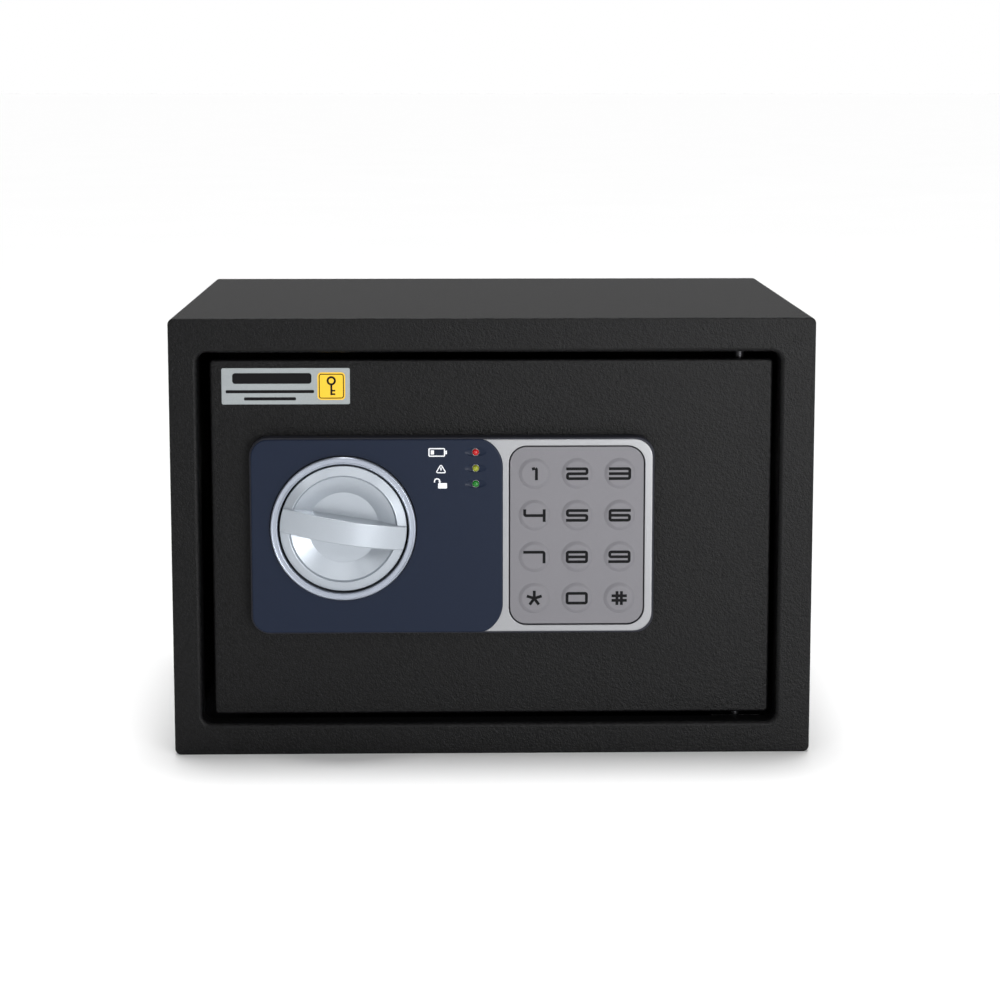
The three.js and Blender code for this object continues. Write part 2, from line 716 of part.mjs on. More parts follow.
function overridePlug() {
  const { x, z, plug } = OVERRIDE;
  const barrel = rodY(x, z, plug, PLUG.front, PLUG.back, ROUND);
  const { halfWidth: thin, halfHeight: tall, depth } = KEYWAY;
  const keyway = block(x - thin, x + thin, PLUG.front - 1, PLUG.front + depth, z - tall, z + tall);
  const camFront = PLUG.back - PLUG.camSheet;
  const cam = block(x - PLUG.camHalf, x + PLUG.camHalf, camFront, PLUG.back, z, z + PLUG.camLength);
  return cut(join(barrel, cam), keyway);
}

add(door, "override_cylinder", "brass", overrideCylinder());
add(safe, "override_plug", "brass", overridePlug());

// ---- batteries ----------------------------------------------------------------------------------
const CELL_ROW = CELL.pitch * (CELL.count - 1);
const CELL_PLAY = { side: 0.7, depth: 0.4, end: 1.6 };
const BATTERY_BOX = {
  left: CELLS.x - CELL_ROW / 2 - CELL.radius - CELL_PLAY.side,
  right: CELLS.x + CELL_ROW / 2 + CELL.radius + CELL_PLAY.side,
  front: CELLS.y - CELL.radius - CELL_PLAY.depth,
  back: CASE_BACK - CASE.wall - CLEAR,
  bottom: CELLS.z - CELL.length / 2 - CELL_PLAY.end,
  top: CELLS.z + CELL.length / 2 + CELL_PLAY.end,
};

function batteryBox() {
  const { left, right, front, back, bottom, top } = BATTERY_BOX;
  const wall = BATTERY_WALL;
  const outer = block(left - wall, right + wall, front - wall, back, bottom - wall, top + wall);
  return cut(outer, block(left, right, front, back + 1, bottom, top));
}

function cell(x, up) {
  const half = CELL.length / 2;
  const can = rodZ(x, CELLS.y, CELL.radius, CELLS.z - half, CELLS.z + half, SMALL);
  const end = CELLS.z + up * half;
  const nub = rodBetween(x, CELLS.y, CELL.nub, end - up, end + up * CELL.nubLength, TINY);
  return join(can, nub);
}

add(door, "battery_box", "case_plastic", batteryBox());
for (let index = 0; index < CELL.count; index += 1) {
  const x = CELLS.x - CELL_ROW / 2 + index * CELL.pitch;
  add(door, `battery_${index + 1}`, "cell_sleeve", cell(x, index % 2 ? -1 : 1));
}

const COVER = { margin: 3, sheet: 1.5, slide: 66 };
const RIDGES = { count: 5, inset: 5, pitch: 2.4, width: 1.2, halfLength: 10, root: 0.5, height: 0.8 };
const COVER_BOX = {
  left: BATTERY_BOX.left - COVER.margin,
  right: BATTERY_BOX.right + COVER.margin,
  bottom: BATTERY_BOX.bottom - COVER.margin,
  top: BATTERY_BOX.top + COVER.margin,
  corner: 2,
};

function batteryCover() {
  const front = CASE_BACK + CLEAR;
  const back = front + COVER.sheet;
  const low = CELLS.z - RIDGES.halfLength;
  const high = CELLS.z + RIDGES.halfLength;
  const ridges = [];
  for (let index = 0; index < RIDGES.count; index += 1) {
    const left = COVER_BOX.left + RIDGES.inset + index * RIDGES.pitch;
    ridges.push(block(left, left + RIDGES.width, back - RIDGES.root, back + RIDGES.height, low, high));
  }
  return join(plate(COVER_BOX, front, back, 3), ...ridges);
}

add(safe, "battery_cover", "case_plastic", batteryCover());

// ---- case over the mechanism ---------------------------------------------------------------------
const RAIL = { height: 2, gap: 0.6, root: 0.5 };

function lockCase() {
  const front = DOOR_BACK + CLEAR;
  const { left, right, bottom, top } = BATTERY_BOX;
  const inner = CASE_BACK - CASE.wall - 1;
  const outer = CASE_BACK + 1;
  const shell = cut(
    plate(CASE, front, CASE_BACK, 3),
    plate(grow(CASE, -CASE.wall), front - 1, CASE_BACK - CASE.wall, 3),
  );
  const ears = SCREW_PLACES.map(({ x, z }) => {
    const low = z > HEIGHT / 2 ? z - EAR.height / 2 - 1 : z - EAR.height / 2;
    const high = low + EAR.height + 1;
    return block(x - EAR.halfWidth, x + EAR.halfWidth, front, front + EAR.sheet, low, high);
  });
  const railBack = CASE_BACK + CLEAR + COVER.sheet;
  const railLeft = COVER_BOX.left - COVER.slide;
  const railBottoms = [COVER_BOX.top + RAIL.gap, COVER_BOX.bottom - RAIL.gap - RAIL.height];
  const rails = railBottoms.map((low) => {
    return block(railLeft, COVER_BOX.right, CASE_BACK - RAIL.root, railBack, low, low + RAIL.height);
  });
  const boltHoles = Object.values(BOLT_HEIGHTS).map((z) => {
    return rodX(BOLT.y, z, BOLT.radius + 1, CASE.left - 1, CASE.left + CASE.wall + 1, ROUND);
  });
  const screwHoles = SCREW_PLACES.map(({ x, z }) => {
    return rodY(x, z, SCREW.shank + CLEAR, front - 1, front + EAR.sheet + 1, TINY);
  });
  return cut(
    join(shell, ...ears, ...rails),
    ...boltHoles,
    ...screwHoles,
    rodY(RESET.x, RESET.z, RESET.radius + CLEAR, inner, outer),
    block(left, right, inner, outer, bottom, top),
  );
}

function coverScrew({ x, z }) {
  const headFront = DOOR_BACK + CLEAR + EAR.sheet + CLEAR;
  const head = rodY(x, z, SCREW.head, headFront, headFront + SCREW.headHeight, SMALL);
  const shank = rodY(x, z, SCREW.shank, headFront - SCREW.grip, headFront + 1, TINY);
  const { halfLength: long, halfWidth: narrow, depth } = SCREW_CROSS;
  const start = headFront + SCREW.headHeight - depth;
  const end = start + depth + 1;
  const across = block(x - long, x + long, start, end, z - narrow, z + narrow);
  const upright = block(x - narrow, x + narrow, start, end, z - long, z + long);
  return cut(join(head, shank), across, upright);
}

function resetButton() {
  const { x, z, radius, collar, depth, proud } = RESET;
  const front = CASE_BACK - depth;
  const stem = rodY(x, z, radius, front, CASE_BACK + proud);
  const flange = rodY(x, z, radius + collar, front, CASE_BACK - CASE.wall - CLEAR);
  return join(stem, flange);
}

add(door, "lock_case", "case_plastic", lockCase());
SCREW_PLACES.forEach((place, index) => add(door, `cover_screw_${index + 1}`, "steel", coverScrew(place)));
add(safe, "reset_button", "red_plastic", resetButton());

export default safe;
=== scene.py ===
"""An electronic in-room safe: the visual model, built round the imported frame."""

import json
import math

import bmesh
import bpy
import numpy as np
from mathutils import Matrix, Vector
from mathutils.geometry import delaunay_2d_cdt


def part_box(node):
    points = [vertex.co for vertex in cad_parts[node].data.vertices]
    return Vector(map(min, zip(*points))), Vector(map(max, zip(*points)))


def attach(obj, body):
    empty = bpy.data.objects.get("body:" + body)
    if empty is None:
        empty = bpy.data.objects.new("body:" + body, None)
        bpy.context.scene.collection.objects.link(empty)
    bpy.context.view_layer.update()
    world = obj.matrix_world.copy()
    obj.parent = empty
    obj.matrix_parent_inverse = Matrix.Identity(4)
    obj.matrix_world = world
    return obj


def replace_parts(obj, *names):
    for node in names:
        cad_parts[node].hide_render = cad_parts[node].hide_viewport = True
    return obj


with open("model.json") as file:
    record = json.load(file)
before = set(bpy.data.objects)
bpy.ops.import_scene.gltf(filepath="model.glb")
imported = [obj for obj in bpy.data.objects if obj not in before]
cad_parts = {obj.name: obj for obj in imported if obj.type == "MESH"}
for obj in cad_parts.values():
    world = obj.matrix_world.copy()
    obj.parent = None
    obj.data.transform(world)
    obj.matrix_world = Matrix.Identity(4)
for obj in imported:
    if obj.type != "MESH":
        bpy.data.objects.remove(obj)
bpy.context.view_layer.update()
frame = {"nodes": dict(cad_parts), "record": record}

MM = 0.001  # shapes below are drawn in millimetres

# ---- sizes that the frame's boxes don't give, in millimetres ----------------------------------------
# body, doorway and anchor holes
BODY_CORNER = 3.0
SHEET = 2.0
BORDER = {"left": 13.7, "right": 16.8, "bottom": 15.4, "top": 16.6}  # flange's edge to the lip's inner face
OPENING_CORNER = 4.5
OUTER_BEND = 0.8
LIP_FOLD = 2.2
LIP_SHEET = 1.6
LIP_DEPTH = 12.0
ANCHOR_X = 75.0
ANCHOR_Y = 20.0
ANCHOR_RADIUS = 5.0
MAT_HOLE = 8.0  # radius of the mat's holes over the floor's anchor holes
DOOR_CORNER = 2.0

# control panel
PANEL_CORNER = 9.0
KEYPAD_CORNER = 8.0
RING_GAP = 0.3  # between the knob's ring and the hole round it
RING_WIDTH = 3.6
POCKET_GAP = 0.55  # between the keypad and the housing
FACE_INSET = 0.9  # from the housing's edge to the silver face
FACE_EDGE = 0.6
FACE_LAP = 26.0  # how far the silver face runs under the blue plate
PLATE_INSET = 0.7  # from the housing's edge to the blue plate
SWEEP_WIDTH = 11.0
SWEEP_UPPER = 13.5
SWEEP_LOWER = 14.0
LAMP_HOLE = 1.75
DISH_HALF_WIDTH = 5.6  # of the shallow oval round each lamp
DISH_HALF_HEIGHT = 1.9
DISH_SINK = 0.45
LENS_DOME = 1.3

# knob
KNOB_TILT = math.radians(9)
DISH_RADIUS = 25.6
DISH_FLOOR = 4.8  # behind the rim's crest
HUB_RADIUS = 17.1
GRIP_WIDTH = 11.6
GRIP_PROUD = 9.0
GRIP_EDGE = 0.5

# keys, with their digits drawn on a grid from -1 to 1
FILM_SINK = 0.1  # the film's face is this far behind the CAD mat's front
KEY_HOLE = 7.62
KEY_FLAT = 6.0  # radius of a key's flat top
KEY_FOOT = 7.45  # radius at which its slope meets the film
GLYPH = (4.7, 2.4)  # half width and half height of a digit's stroke line
STROKE = 1.4
STROKE_CORNER = 0.75
OPEN_X = 1.14  # an open end of a stroke runs this far out, on the digit's own grid
OPEN_Z = 1.28
STAR_ARM = 3.8

# signs and sticker
SIGN_RIGHT = -22.0
TILE_SIZE = 13.4
TILE_CORNER = 2.0

# hinge pins, cells and screws
PIN_SHANK = 2.25
PIN_HEAD_HEIGHT = 1.8
NUB_RADIUS = 2.7
NUB_HEIGHT = 1.2
SCREW_HEAD_HEIGHT = 2.0
SCREW_SHANK = 1.4
SLOT_HALF_LENGTH = 1.9
SLOT_HALF_WIDTH = 0.4

# camera, in millimetres, and its lens
CAMERA_AT = (-17.56, -1206.9, 327.4)
CAMERA_DOWN = math.radians(7.44)
CAMERA_RIGHT = math.radians(1.10)
LENS = 83.18
SENSOR = 36
SHIFT_UP = -0.12

# studio, in metres and watts: each softbox's place, aim, size and power
OVERHEAD = 2.6
OVERHEAD_ANGLE = math.radians(20)
OVERHEAD_TILT = math.radians(-8)
SAFE_MIDDLE = (-0.05, -0.1, 0.1)
SOFTBOXES = {
    "left_softbox": ((-1.4, -1.9, 1.45), SAFE_MIDDLE, (1.1, 0.9), 8),
    "top_softbox": ((0.0, -2.05, 1.4), SAFE_MIDDLE, (1.4, 0.55), 7),
    "right_softbox": ((1.4, -1.8, 1.4), SAFE_MIDDLE, (1.1, 0.9), 9),
    "low_softbox": ((0.62, -1.45, 0.17), (0.1, -0.1, 0.15), (0.5, 0.3), 10),
}
ROOM_FRONT = 0.14
ROOM_BACK = 0.46
ROOM_BLEND = 0.8  # the room's light changes over this span of the direction's Y, either side of 0
FLOOR_REACH = 60.0
FLOOR_WHITE = (0.93, 0.93, 0.93)
COAT_ROUGHNESS = 0.12

KEYS = ["1", "2", "3", "4", "5", "6", "7", "8", "9", "star", "0", "hash"]


class Box:
    """A CAD node's box in millimetres: left and right on X, front and back on Y, bottom and top on Z."""

    def __init__(self, node):
        low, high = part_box(node)
        self.left, self.front, self.bottom = (value / MM for value in low)
        self.right, self.back, self.top = (value / MM for value in high)
        self.x = (self.left + self.right) / 2
        self.y = (self.front + self.back) / 2
        self.z = (self.bottom + self.top) / 2

    def rectangle(self):
        """The box seen from the front."""
        return (self.left, self.right, self.bottom, self.top)

    def rectangle_flat(self):
        """The box seen from above."""
        return (self.left, self.right, self.front, self.back)


# ---- mesh helpers ---------------------------------------------------------------------------------
def piece(name, vertices, faces, material, body, slot, sharp=35):
    """A closed mesh from millimetre points, smooth except at edges sharper than the given degrees."""
    mesh = bpy.data.meshes.new(name)
    mesh.from_pydata([tuple(float(c) * MM for c in v) for v in vertices], [], [tuple(f) for f in faces])
    work = bmesh.new()
    work.from_mesh(mesh)
    bmesh.ops.remove_doubles(work, verts=work.verts, dist=1e-6)
    bmesh.ops.recalc_face_normals(work, faces=work.faces)
    limit = math.radians(sharp)
    for edge in work.edges:
        edge.smooth = edge.calc_face_angle(0.0) < limit
    for face in work.faces:
        face.smooth = True
    work.to_mesh(mesh)
    work.free()
    mesh.materials.clear()
    mesh.materials.append(material)
    thing = bpy.data.objects.new(name, mesh)
    bpy.context.scene.collection.objects.link(thing)
    modifier = thing.modifiers.new("face_weighted_normals", "WEIGHTED_NORMAL")
    modifier.mode = "FACE_AREA"
    modifier.keep_sharp = True
    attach(thing, body)
    return thing


def arc(centre, radius, start, end, steps):
    angles = np.linspace(math.radians(start), math.radians(end), steps + 1)
    return [(centre[0] + radius * math.cos(a), centre[1] + radius * math.sin(a)) for a in angles]


def rounded(rectangle, corner, grow=0.0, steps=8):
    """A rectangle's outline with round corners, grown outwards, always with the same number of points."""
    left, right, bottom, top = rectangle
    radius = max(corner + grow, 0.05)
    left, right, bottom, top = left - grow, right + grow, bottom - grow, top + grow
    corners = [
        ((right - radius, bottom + radius), -90),
        ((right - radius, top - radius), 0),
        ((left + radius, top - radius), 90),
        ((left + radius, bottom + radius), 180),
    ]
    return [p for centre, start in corners for p in arc(centre, radius, start, start + 90, steps)]


def quarter_turn(steps):
    """Angles from 0 to a quarter turn."""
    return [math.pi / 2 * i / steps for i in range(steps + 1)]


def circle(x, z, radius, sides=96):
    return arc((x, z), radius, 0, 360, sides)[:-1]


def ellipse(x, z, half_width, half_height, sides=48):
    return [(x + half_width * c, z + half_height * s) for c, s in circle(0, 0, 1, sides)]


def eased(front, back, front_edge, back_edge, steps=4):
    """(inset, y) steps along a wall from its front face to its back face, with quarter-round edges."""
    path = []
    for a in quarter_turn(steps):
        path.append((front_edge * (1 - math.sin(a)), front + front_edge * (1 - math.cos(a))))
    for a in quarter_turn(steps):
        path.append((back_edge * (1 - math.cos(a)), back - back_edge * (1 - math.sin(a))))
    kept = [path[0]]
    for step in path[1:]:
        if math.dist(step, kept[-1]) > 1e-4:
            kept.append(step)
    return kept


def inside(polygon, points):
    """Which of the points lie inside the polygon."""
    polygon, points = np.array(polygon), np.array(points)
    result = np.zeros(len(points), bool)
    for (x1, y1), (x2, y2) in zip(polygon, np.roll(polygon, -1, axis=0)):
        if y1 == y2:
            continue
        crosses = (points[:, 1] < y1) != (points[:, 1] < y2)
        at = x1 + (points[:, 1] - y1) * (x2 - x1) / (y2 - y1)
        result ^= crosses & (points[:, 0] < at)
    return result


def cap(loops):
    """Triangles over the first loop less the others, as indices into the loops' points laid end to end."""
    points = [Vector(p) for loop in loops for p in loop]
    edges, start = [], 0
    for loop in loops:
        count = len(loop)
        edges += [(start + i, start + (i + 1) % count) for i in range(count)]
        start += count
    verts, _, triangles, sources, _, _ = delaunay_2d_cdt(points, edges, [], 1, 1e-7)
    centres = [sum((verts[i] for i in t), Vector((0, 0))) / 3 for t in triangles]
    keep = inside(loops[0], centres)
    for hole in loops[1:]:
        keep &= ~inside(hole, centres)
    return [[sources[i][0] for i in t] for t, wanted in zip(triangles, keep) if wanted]


def plated(rings, holes=()):
    """Vertices and faces of a plate or tray.

    rings and each hole are lists of (loop, y) that run from the first face's edge to the second's. Both faces
    are filled.
    """
    vertices, faces, ends = [], [], []
    for wall in (rings, *holes):
        starts = []
        for loop, y in wall:
            starts.append(len(vertices))
            vertices += [(x, y, z) for x, z in loop]
        count = len(wall[0][0])
        for a, b in zip(starts, starts[1:]):
            faces += [(a + i, a + (i + 1) % count, b + (i + 1) % count, b + i) for i in range(count)]
        ends.append((starts[0], starts[-1], count))
    for which in (0, 1):
        loops = [wall[0 if which == 0 else -1][0] for wall in (rings, *holes)]
        index = [start + i for *starts, count in ends for start in [starts[which]] for i in range(count)]
        faces += [[index[i] for i in triangle] for triangle in cap(loops)]
    return vertices, faces


def band(rings):
    """Vertices and faces of loops joined one after the other, the last to the first."""
    count = len(rings[0][0])
    vertices = [(x, y, z) for loop, y in rings for x, z in loop]
    faces = []
    for k in range(len(rings)):
        a, b = k * count, (k + 1) % len(rings) * count
        faces += [(a + i, a + (i + 1) % count, b + (i + 1) % count, b + i) for i in range(count)]
    return vertices, faces


def filleted(points, radii, steps=5, closed=False):
    """A polyline with its corners rounded: radii has one radius for each point."""
    result = []
    count = len(points)
    for i, radius in enumerate(radii):
        here = Vector(points[i])
        if radius <= 0 or (not closed and i in (0, count - 1)):
            result.append(tuple(here))
            continue
        before = (Vector(points[i - 1]) - here).normalized()
        after = (Vector(points[(i + 1) % count]) - here).normalized()
        half = before.angle(after) / 2
        reach = radius / math.tan(half)
        middle = here + (before + after).normalized() * (radius / math.sin(half))
        first = here + before * reach - middle
        last = here + after * reach - middle
        start = math.atan2(first.y, first.x)
        sweep = (math.atan2(last.y, last.x) - start + math.pi) % (2 * math.pi) - math.pi
        for step in range(steps + 1):
            a = start + sweep * step / steps
            result.append((middle.x + radius * math.cos(a), middle.y + radius * math.sin(a)))
    return result


def turned(profile, sides=128, closed=False):
    """Vertices and faces of (radius, y) points turned about the Y axis through the origin."""
    vertices, faces, starts = [], [], []
    for radius, y in profile:
        starts.append(len(vertices))
        if radius < 1e-6:
            vertices.append((0, y, 0))
        else:
            vertices += [(x, y, z) for x, z in circle(0, 0, radius, sides)]
    sizes = [1 if radius < 1e-6 else sides for radius, _ in profile]
    pairs = list(zip(range(len(profile)), range(1, len(profile))))
    if closed:
        pairs.append((len(profile) - 1, 0))
    for a, b in pairs:
        for i in range(sides):
            j = (i + 1) % sides
            low = [starts[a]] if sizes[a] == 1 else [starts[a] + i, starts[a] + j]
            high = [starts[b]] if sizes[b] == 1 else [starts[b] + j, starts[b] + i]
            faces.append(low + high)
    return vertices, faces


def placed(shape, matrix):
    vertices, faces = shape
    return [tuple(matrix @ Vector(v)) for v in vertices], faces


def combined(base, operation, *others):
    """A mesh of base joined to, cut by or kept inside each of the other shapes in turn."""
    def solid(shape):
        mesh = bpy.data.meshes.new("solid")
        mesh.from_pydata([tuple(c * MM for c in v) for v in shape[0]], [], [tuple(f) for f in shape[1]])
        work = bmesh.new()
        work.from_mesh(mesh)
        bmesh.ops.remove_doubles(work, verts=work.verts, dist=1e-6)
        bmesh.ops.recalc_face_normals(work, faces=work.faces)
        work.to_mesh(mesh)
        work.free()
        thing = bpy.data.objects.new("solid", mesh)
        bpy.context.scene.collection.objects.link(thing)
        return thing

    target = solid(base)
    helpers = [solid(other) for other in others]
    for helper in helpers:
        modifier = target.modifiers.new("combine", "BOOLEAN")
        modifier.operation = operation
        modifier.solver = "EXACT"
        modifier.object = helper
    result = bpy.data.meshes.new_from_object(target.evaluated_get(bpy.context.evaluated_depsgraph_get()))
    for thing in (target, *helpers):
        bpy.data.objects.remove(thing)
    vertices = [tuple(c / MM for c in v.co) for v in result.vertices]
    faces = [tuple(p.vertices) for p in result.polygons]
    bpy.data.meshes.remove(result)
    return vertices, faces


def ribbon(points, width, closed=False):
    """A stroke of one width along a line of points, as one four-sided outline for each stretch."""
    line = [Vector(p) for p in points]
    count = len(line)
    left, right = [], []
    for i, here in enumerate(line):
        after = line[(i + 1) % count] if closed or i + 1 < count else None
        before = line[i - 1] if closed or i > 0 else None
        ahead = (after - here).normalized() if after else (here - before).normalized()
        behind = (here - before).normalized() if before else ahead
        along = (ahead + behind).normalized()
        across = Vector((-along.y, along.x)) * width / 2 / max(0.5, ahead.dot(along))
        left.append(tuple(here + across))
        right.append(tuple(here - across))
    stretches = range(count if closed else count - 1)
    return [[right[i], right[(i + 1) % count], left[(i + 1) % count], left[i]] for i in stretches]


def printed(polygons, front, thick):
    """A thin raised print: the union of outlines that run anticlockwise, with its face at y = front."""
    points = [Vector(p) for polygon in polygons for p in polygon]
    outlines, start = [], 0
    for polygon in polygons:
        outlines.append(list(range(start, start + len(polygon))))
        start += len(polygon)
    verts, _, faces, _, _, sources = delaunay_2d_cdt(points, [], outlines, 1, 1e-5)
    kept = [list(face) for face, source in zip(faces, sources) if source]
    count = len(verts)
    vertices = [(v.x, front, v.y) for v in verts] + [(v.x, front + thick, v.y) for v in verts]
    edges = {(a, b) for face in kept for a, b in zip(face, face[1:] + face[:1])}
    sides = [(b, a, a + count, b + count) for a, b in edges if (b, a) not in edges]
    back = [[i + count for i in reversed(face)] for face in kept]
    return vertices, kept + back + sides


# ---- materials ------------------------------------------------------------------------------------
def srgb(red, green, blue):
    """A colour given as display values from 0 to 255, in linear light."""
    def linear(value):
        share = value / 255
        return share / 12.92 if value <= 10 else ((share + 0.055) / 1.055) ** 2.4

    return tuple(linear(value) for value in (red, green, blue))


def surface(name, colour, roughness, metallic=0.0, grain=None, tint=0.1, bump=None, coat=0.0, specular=0.5):
    """A principled material.

    grain is the size in mm of a colour mottle that varies by tint. bump is a list of noise layers, each
    (size in mm, height in mm).
    """
    material = bpy.data.materials.new(name)
    material.use_nodes = True
    nodes, links = material.node_tree.nodes, material.node_tree.links
    shader = nodes["Principled BSDF"]
    shader.inputs["Metallic"].default_value = metallic
    shader.inputs["Coat Weight"].default_value = coat
    shader.inputs["Coat Roughness"].default_value = COAT_ROUGHNESS
    shader.inputs["Specular IOR Level"].default_value = specular
    place = nodes.new("ShaderNodeTexCoord")

    def noise(size, detail=3.0):
        node = nodes.new("ShaderNodeTexNoise")
        node.inputs["Scale"].default_value = 1 / (size * MM)
        node.inputs["Detail"].default_value = detail
        node.inputs["Roughness"].default_value = 0.6
        links.new(place.outputs["Object"], node.inputs["Vector"])
        return node

    mottle = noise(grain or 2.0)
    ramp = nodes.new("ShaderNodeValToRGB")
    ramp.color_ramp.elements[0].position = 0.3
    ramp.color_ramp.elements[1].position = 0.7
    ramp.color_ramp.elements[0].color = (*(c * (1 - tint) for c in colour), 1)
    ramp.color_ramp.elements[1].color = (*(min(1, c * (1 + tint)) for c in colour), 1)
    links.new(mottle.outputs["Fac"], ramp.inputs["Fac"])
    links.new(ramp.outputs["Color"], shader.inputs["Base Color"])

    rough = nodes.new("ShaderNodeMapRange")
    rough.inputs["To Min"].default_value = max(0.02, roughness - 0.05)
    rough.inputs["To Max"].default_value = min(1.0, roughness + 0.05)
    links.new(mottle.outputs["Fac"], rough.inputs["Value"])
    links.new(rough.outputs["Result"], shader.inputs["Roughness"])

    previous = None
    for size, height in bump or ():
        layer = nodes.new("ShaderNodeBump")
        layer.inputs["Distance"].default_value = height * MM
        layer.inputs["Strength"].default_value = 1.0
        links.new(noise(size, 2.0).outputs["Fac"], layer.inputs["Height"])
        if previous:
            links.new(previous.outputs["Normal"], layer.inputs["Normal"])
        previous = layer
    if previous:
        links.new(previous.outputs["Normal"], shader.inputs["Normal"])
    return material


POWDER = surface("powder_coat", srgb(12, 12, 13), 0.38, grain=0.9, tint=1.0,
                 bump=[(1.3, 0.26), (0.7, 0.2)], specular=0.15)
FELT = surface("felt", srgb(60, 61, 65), 0.95, grain=0.8, tint=0.35, bump=[(0.6, 0.35), (3.0, 0.2)])
STEEL = surface("zinc_plated_steel", srgb(196, 198, 200), 0.28, 1.0, grain=3.0, tint=0.06,
                bump=[(0.8, 0.01)])
ZINC = surface("sheet_zinc", srgb(172, 172, 168), 0.4, 1.0, grain=6.0, tint=0.12, bump=[(1.5, 0.02)])
BRASS = surface("brass", srgb(200, 160, 92), 0.3, 1.0, grain=3.0, tint=0.08, bump=[(0.8, 0.01)])
SILVER = surface("silver_paint", srgb(148, 149, 152), 0.36, 0.5, grain=0.35, tint=0.06,
                 bump=[(0.4, 0.004)], coat=0.3)
KNOB_PAINT = surface("knob_silver", srgb(166, 173, 181), 0.32, 0.4, grain=0.4, tint=0.03,
                     bump=[(0.5, 0.003)], coat=0.3)
RING_PAINT = surface("ring_silver", srgb(154, 161, 174), 0.3, 0.65, grain=0.4, tint=0.03,
                     bump=[(0.5, 0.003)], coat=0.5)
HOUSING = surface("housing_plastic", srgb(44, 45, 52), 0.5, grain=0.8, tint=0.1,
                  bump=[(0.6, 0.01)], specular=0.15)
PIN_STEEL = surface("blackened_steel", srgb(56, 56, 58), 0.4, 0.9, grain=1.5, tint=0.1, bump=[(0.8, 0.01)])
BLUE = surface("blue_film", srgb(21, 30, 48), 0.35, grain=0.5, tint=0.06, bump=[(0.6, 0.004)], specular=0.15)
FILM = surface("keypad_film", srgb(111, 110, 115), 0.5, grain=0.5, tint=0.04, bump=[(0.5, 0.006)])
BLACK_INK = surface("black_ink", srgb(9, 9, 12), 0.5, grain=0.5, tint=0.1, specular=0.12)
WHITE_INK = surface("white_ink", srgb(232, 234, 238), 0.5, grain=0.5, tint=0.02)
YELLOW_INK = surface("yellow_ink", srgb(236, 190, 30), 0.45, grain=0.5, tint=0.03)
LABEL_FILM = surface("label_film", srgb(150, 156, 158), 0.38, 0.3, grain=0.6, tint=0.05, bump=[(0.8, 0.004)])
CASE_PLASTIC = surface("case_plastic", srgb(30, 30, 31), 0.55, grain=0.7, tint=0.12, bump=[(0.7, 0.03)])
RED_PLASTIC = surface("red_plastic", srgb(150, 26, 24), 0.35, grain=1.0, tint=0.05, bump=[(0.6, 0.005)])
LAMPS = {
    "led_red": surface("lamp_red", srgb(172, 8, 14), 0.15, grain=1.0, tint=0.2, coat=0.4, specular=0.3),
    "led_yellow": surface("lamp_yellow", srgb(132, 140, 28), 0.15, grain=1.0, tint=0.2, coat=0.4,
                          specular=0.3),
    "led_green": surface("lamp_green", srgb(8, 108, 26), 0.15, grain=1.0, tint=0.2, coat=0.4, specular=0.3),
}
BOARD = surface("board", srgb(32, 92, 58), 0.4, grain=4.0, tint=0.15, bump=[(2.0, 0.03)])
RIBBON = surface("ribbon", srgb(140, 143, 148), 0.5, grain=1.2, tint=0.15, bump=[(1.2, 0.05)])
COPPER = surface("copper_winding", srgb(160, 90, 52), 0.35, 0.9, grain=0.5, tint=0.25, bump=[(0.4, 0.08)])
CELL_SLEEVE = surface("cell_sleeve", srgb(52, 88, 132), 0.3, grain=6.0, tint=0.2, coat=0.4,
                      bump=[(4.0, 0.02)])

# ---- camera, light and floor ------------------------------------------------------------------------
def make_camera():
    data = bpy.data.cameras.new("camera")
    data.lens = LENS
    data.sensor_width = SENSOR
    data.shift_y = SHIFT_UP
    data.clip_start = 0.01
    data.clip_end = 50
    camera = bpy.data.objects.new("camera", data)
    camera.location = [c * MM for c in CAMERA_AT]
    camera.rotation_euler = (math.pi / 2 - CAMERA_DOWN, 0, -CAMERA_RIGHT)
    bpy.context.scene.collection.objects.link(camera)
    bpy.context.scene.camera = camera


def area_light(name, at, target, size, power):
    data = bpy.data.lights.new(name, "AREA")
    data.shape = "RECTANGLE"
    data.size, data.size_y = size
    data.energy = power
    light = bpy.data.objects.new(name, data)
    light.location = at
    light.visible_camera = False
    light.rotation_euler = (Vector(target) - Vector(at)).to_track_quat("-Z", "Y").to_euler()
    bpy.context.scene.collection.objects.link(light)


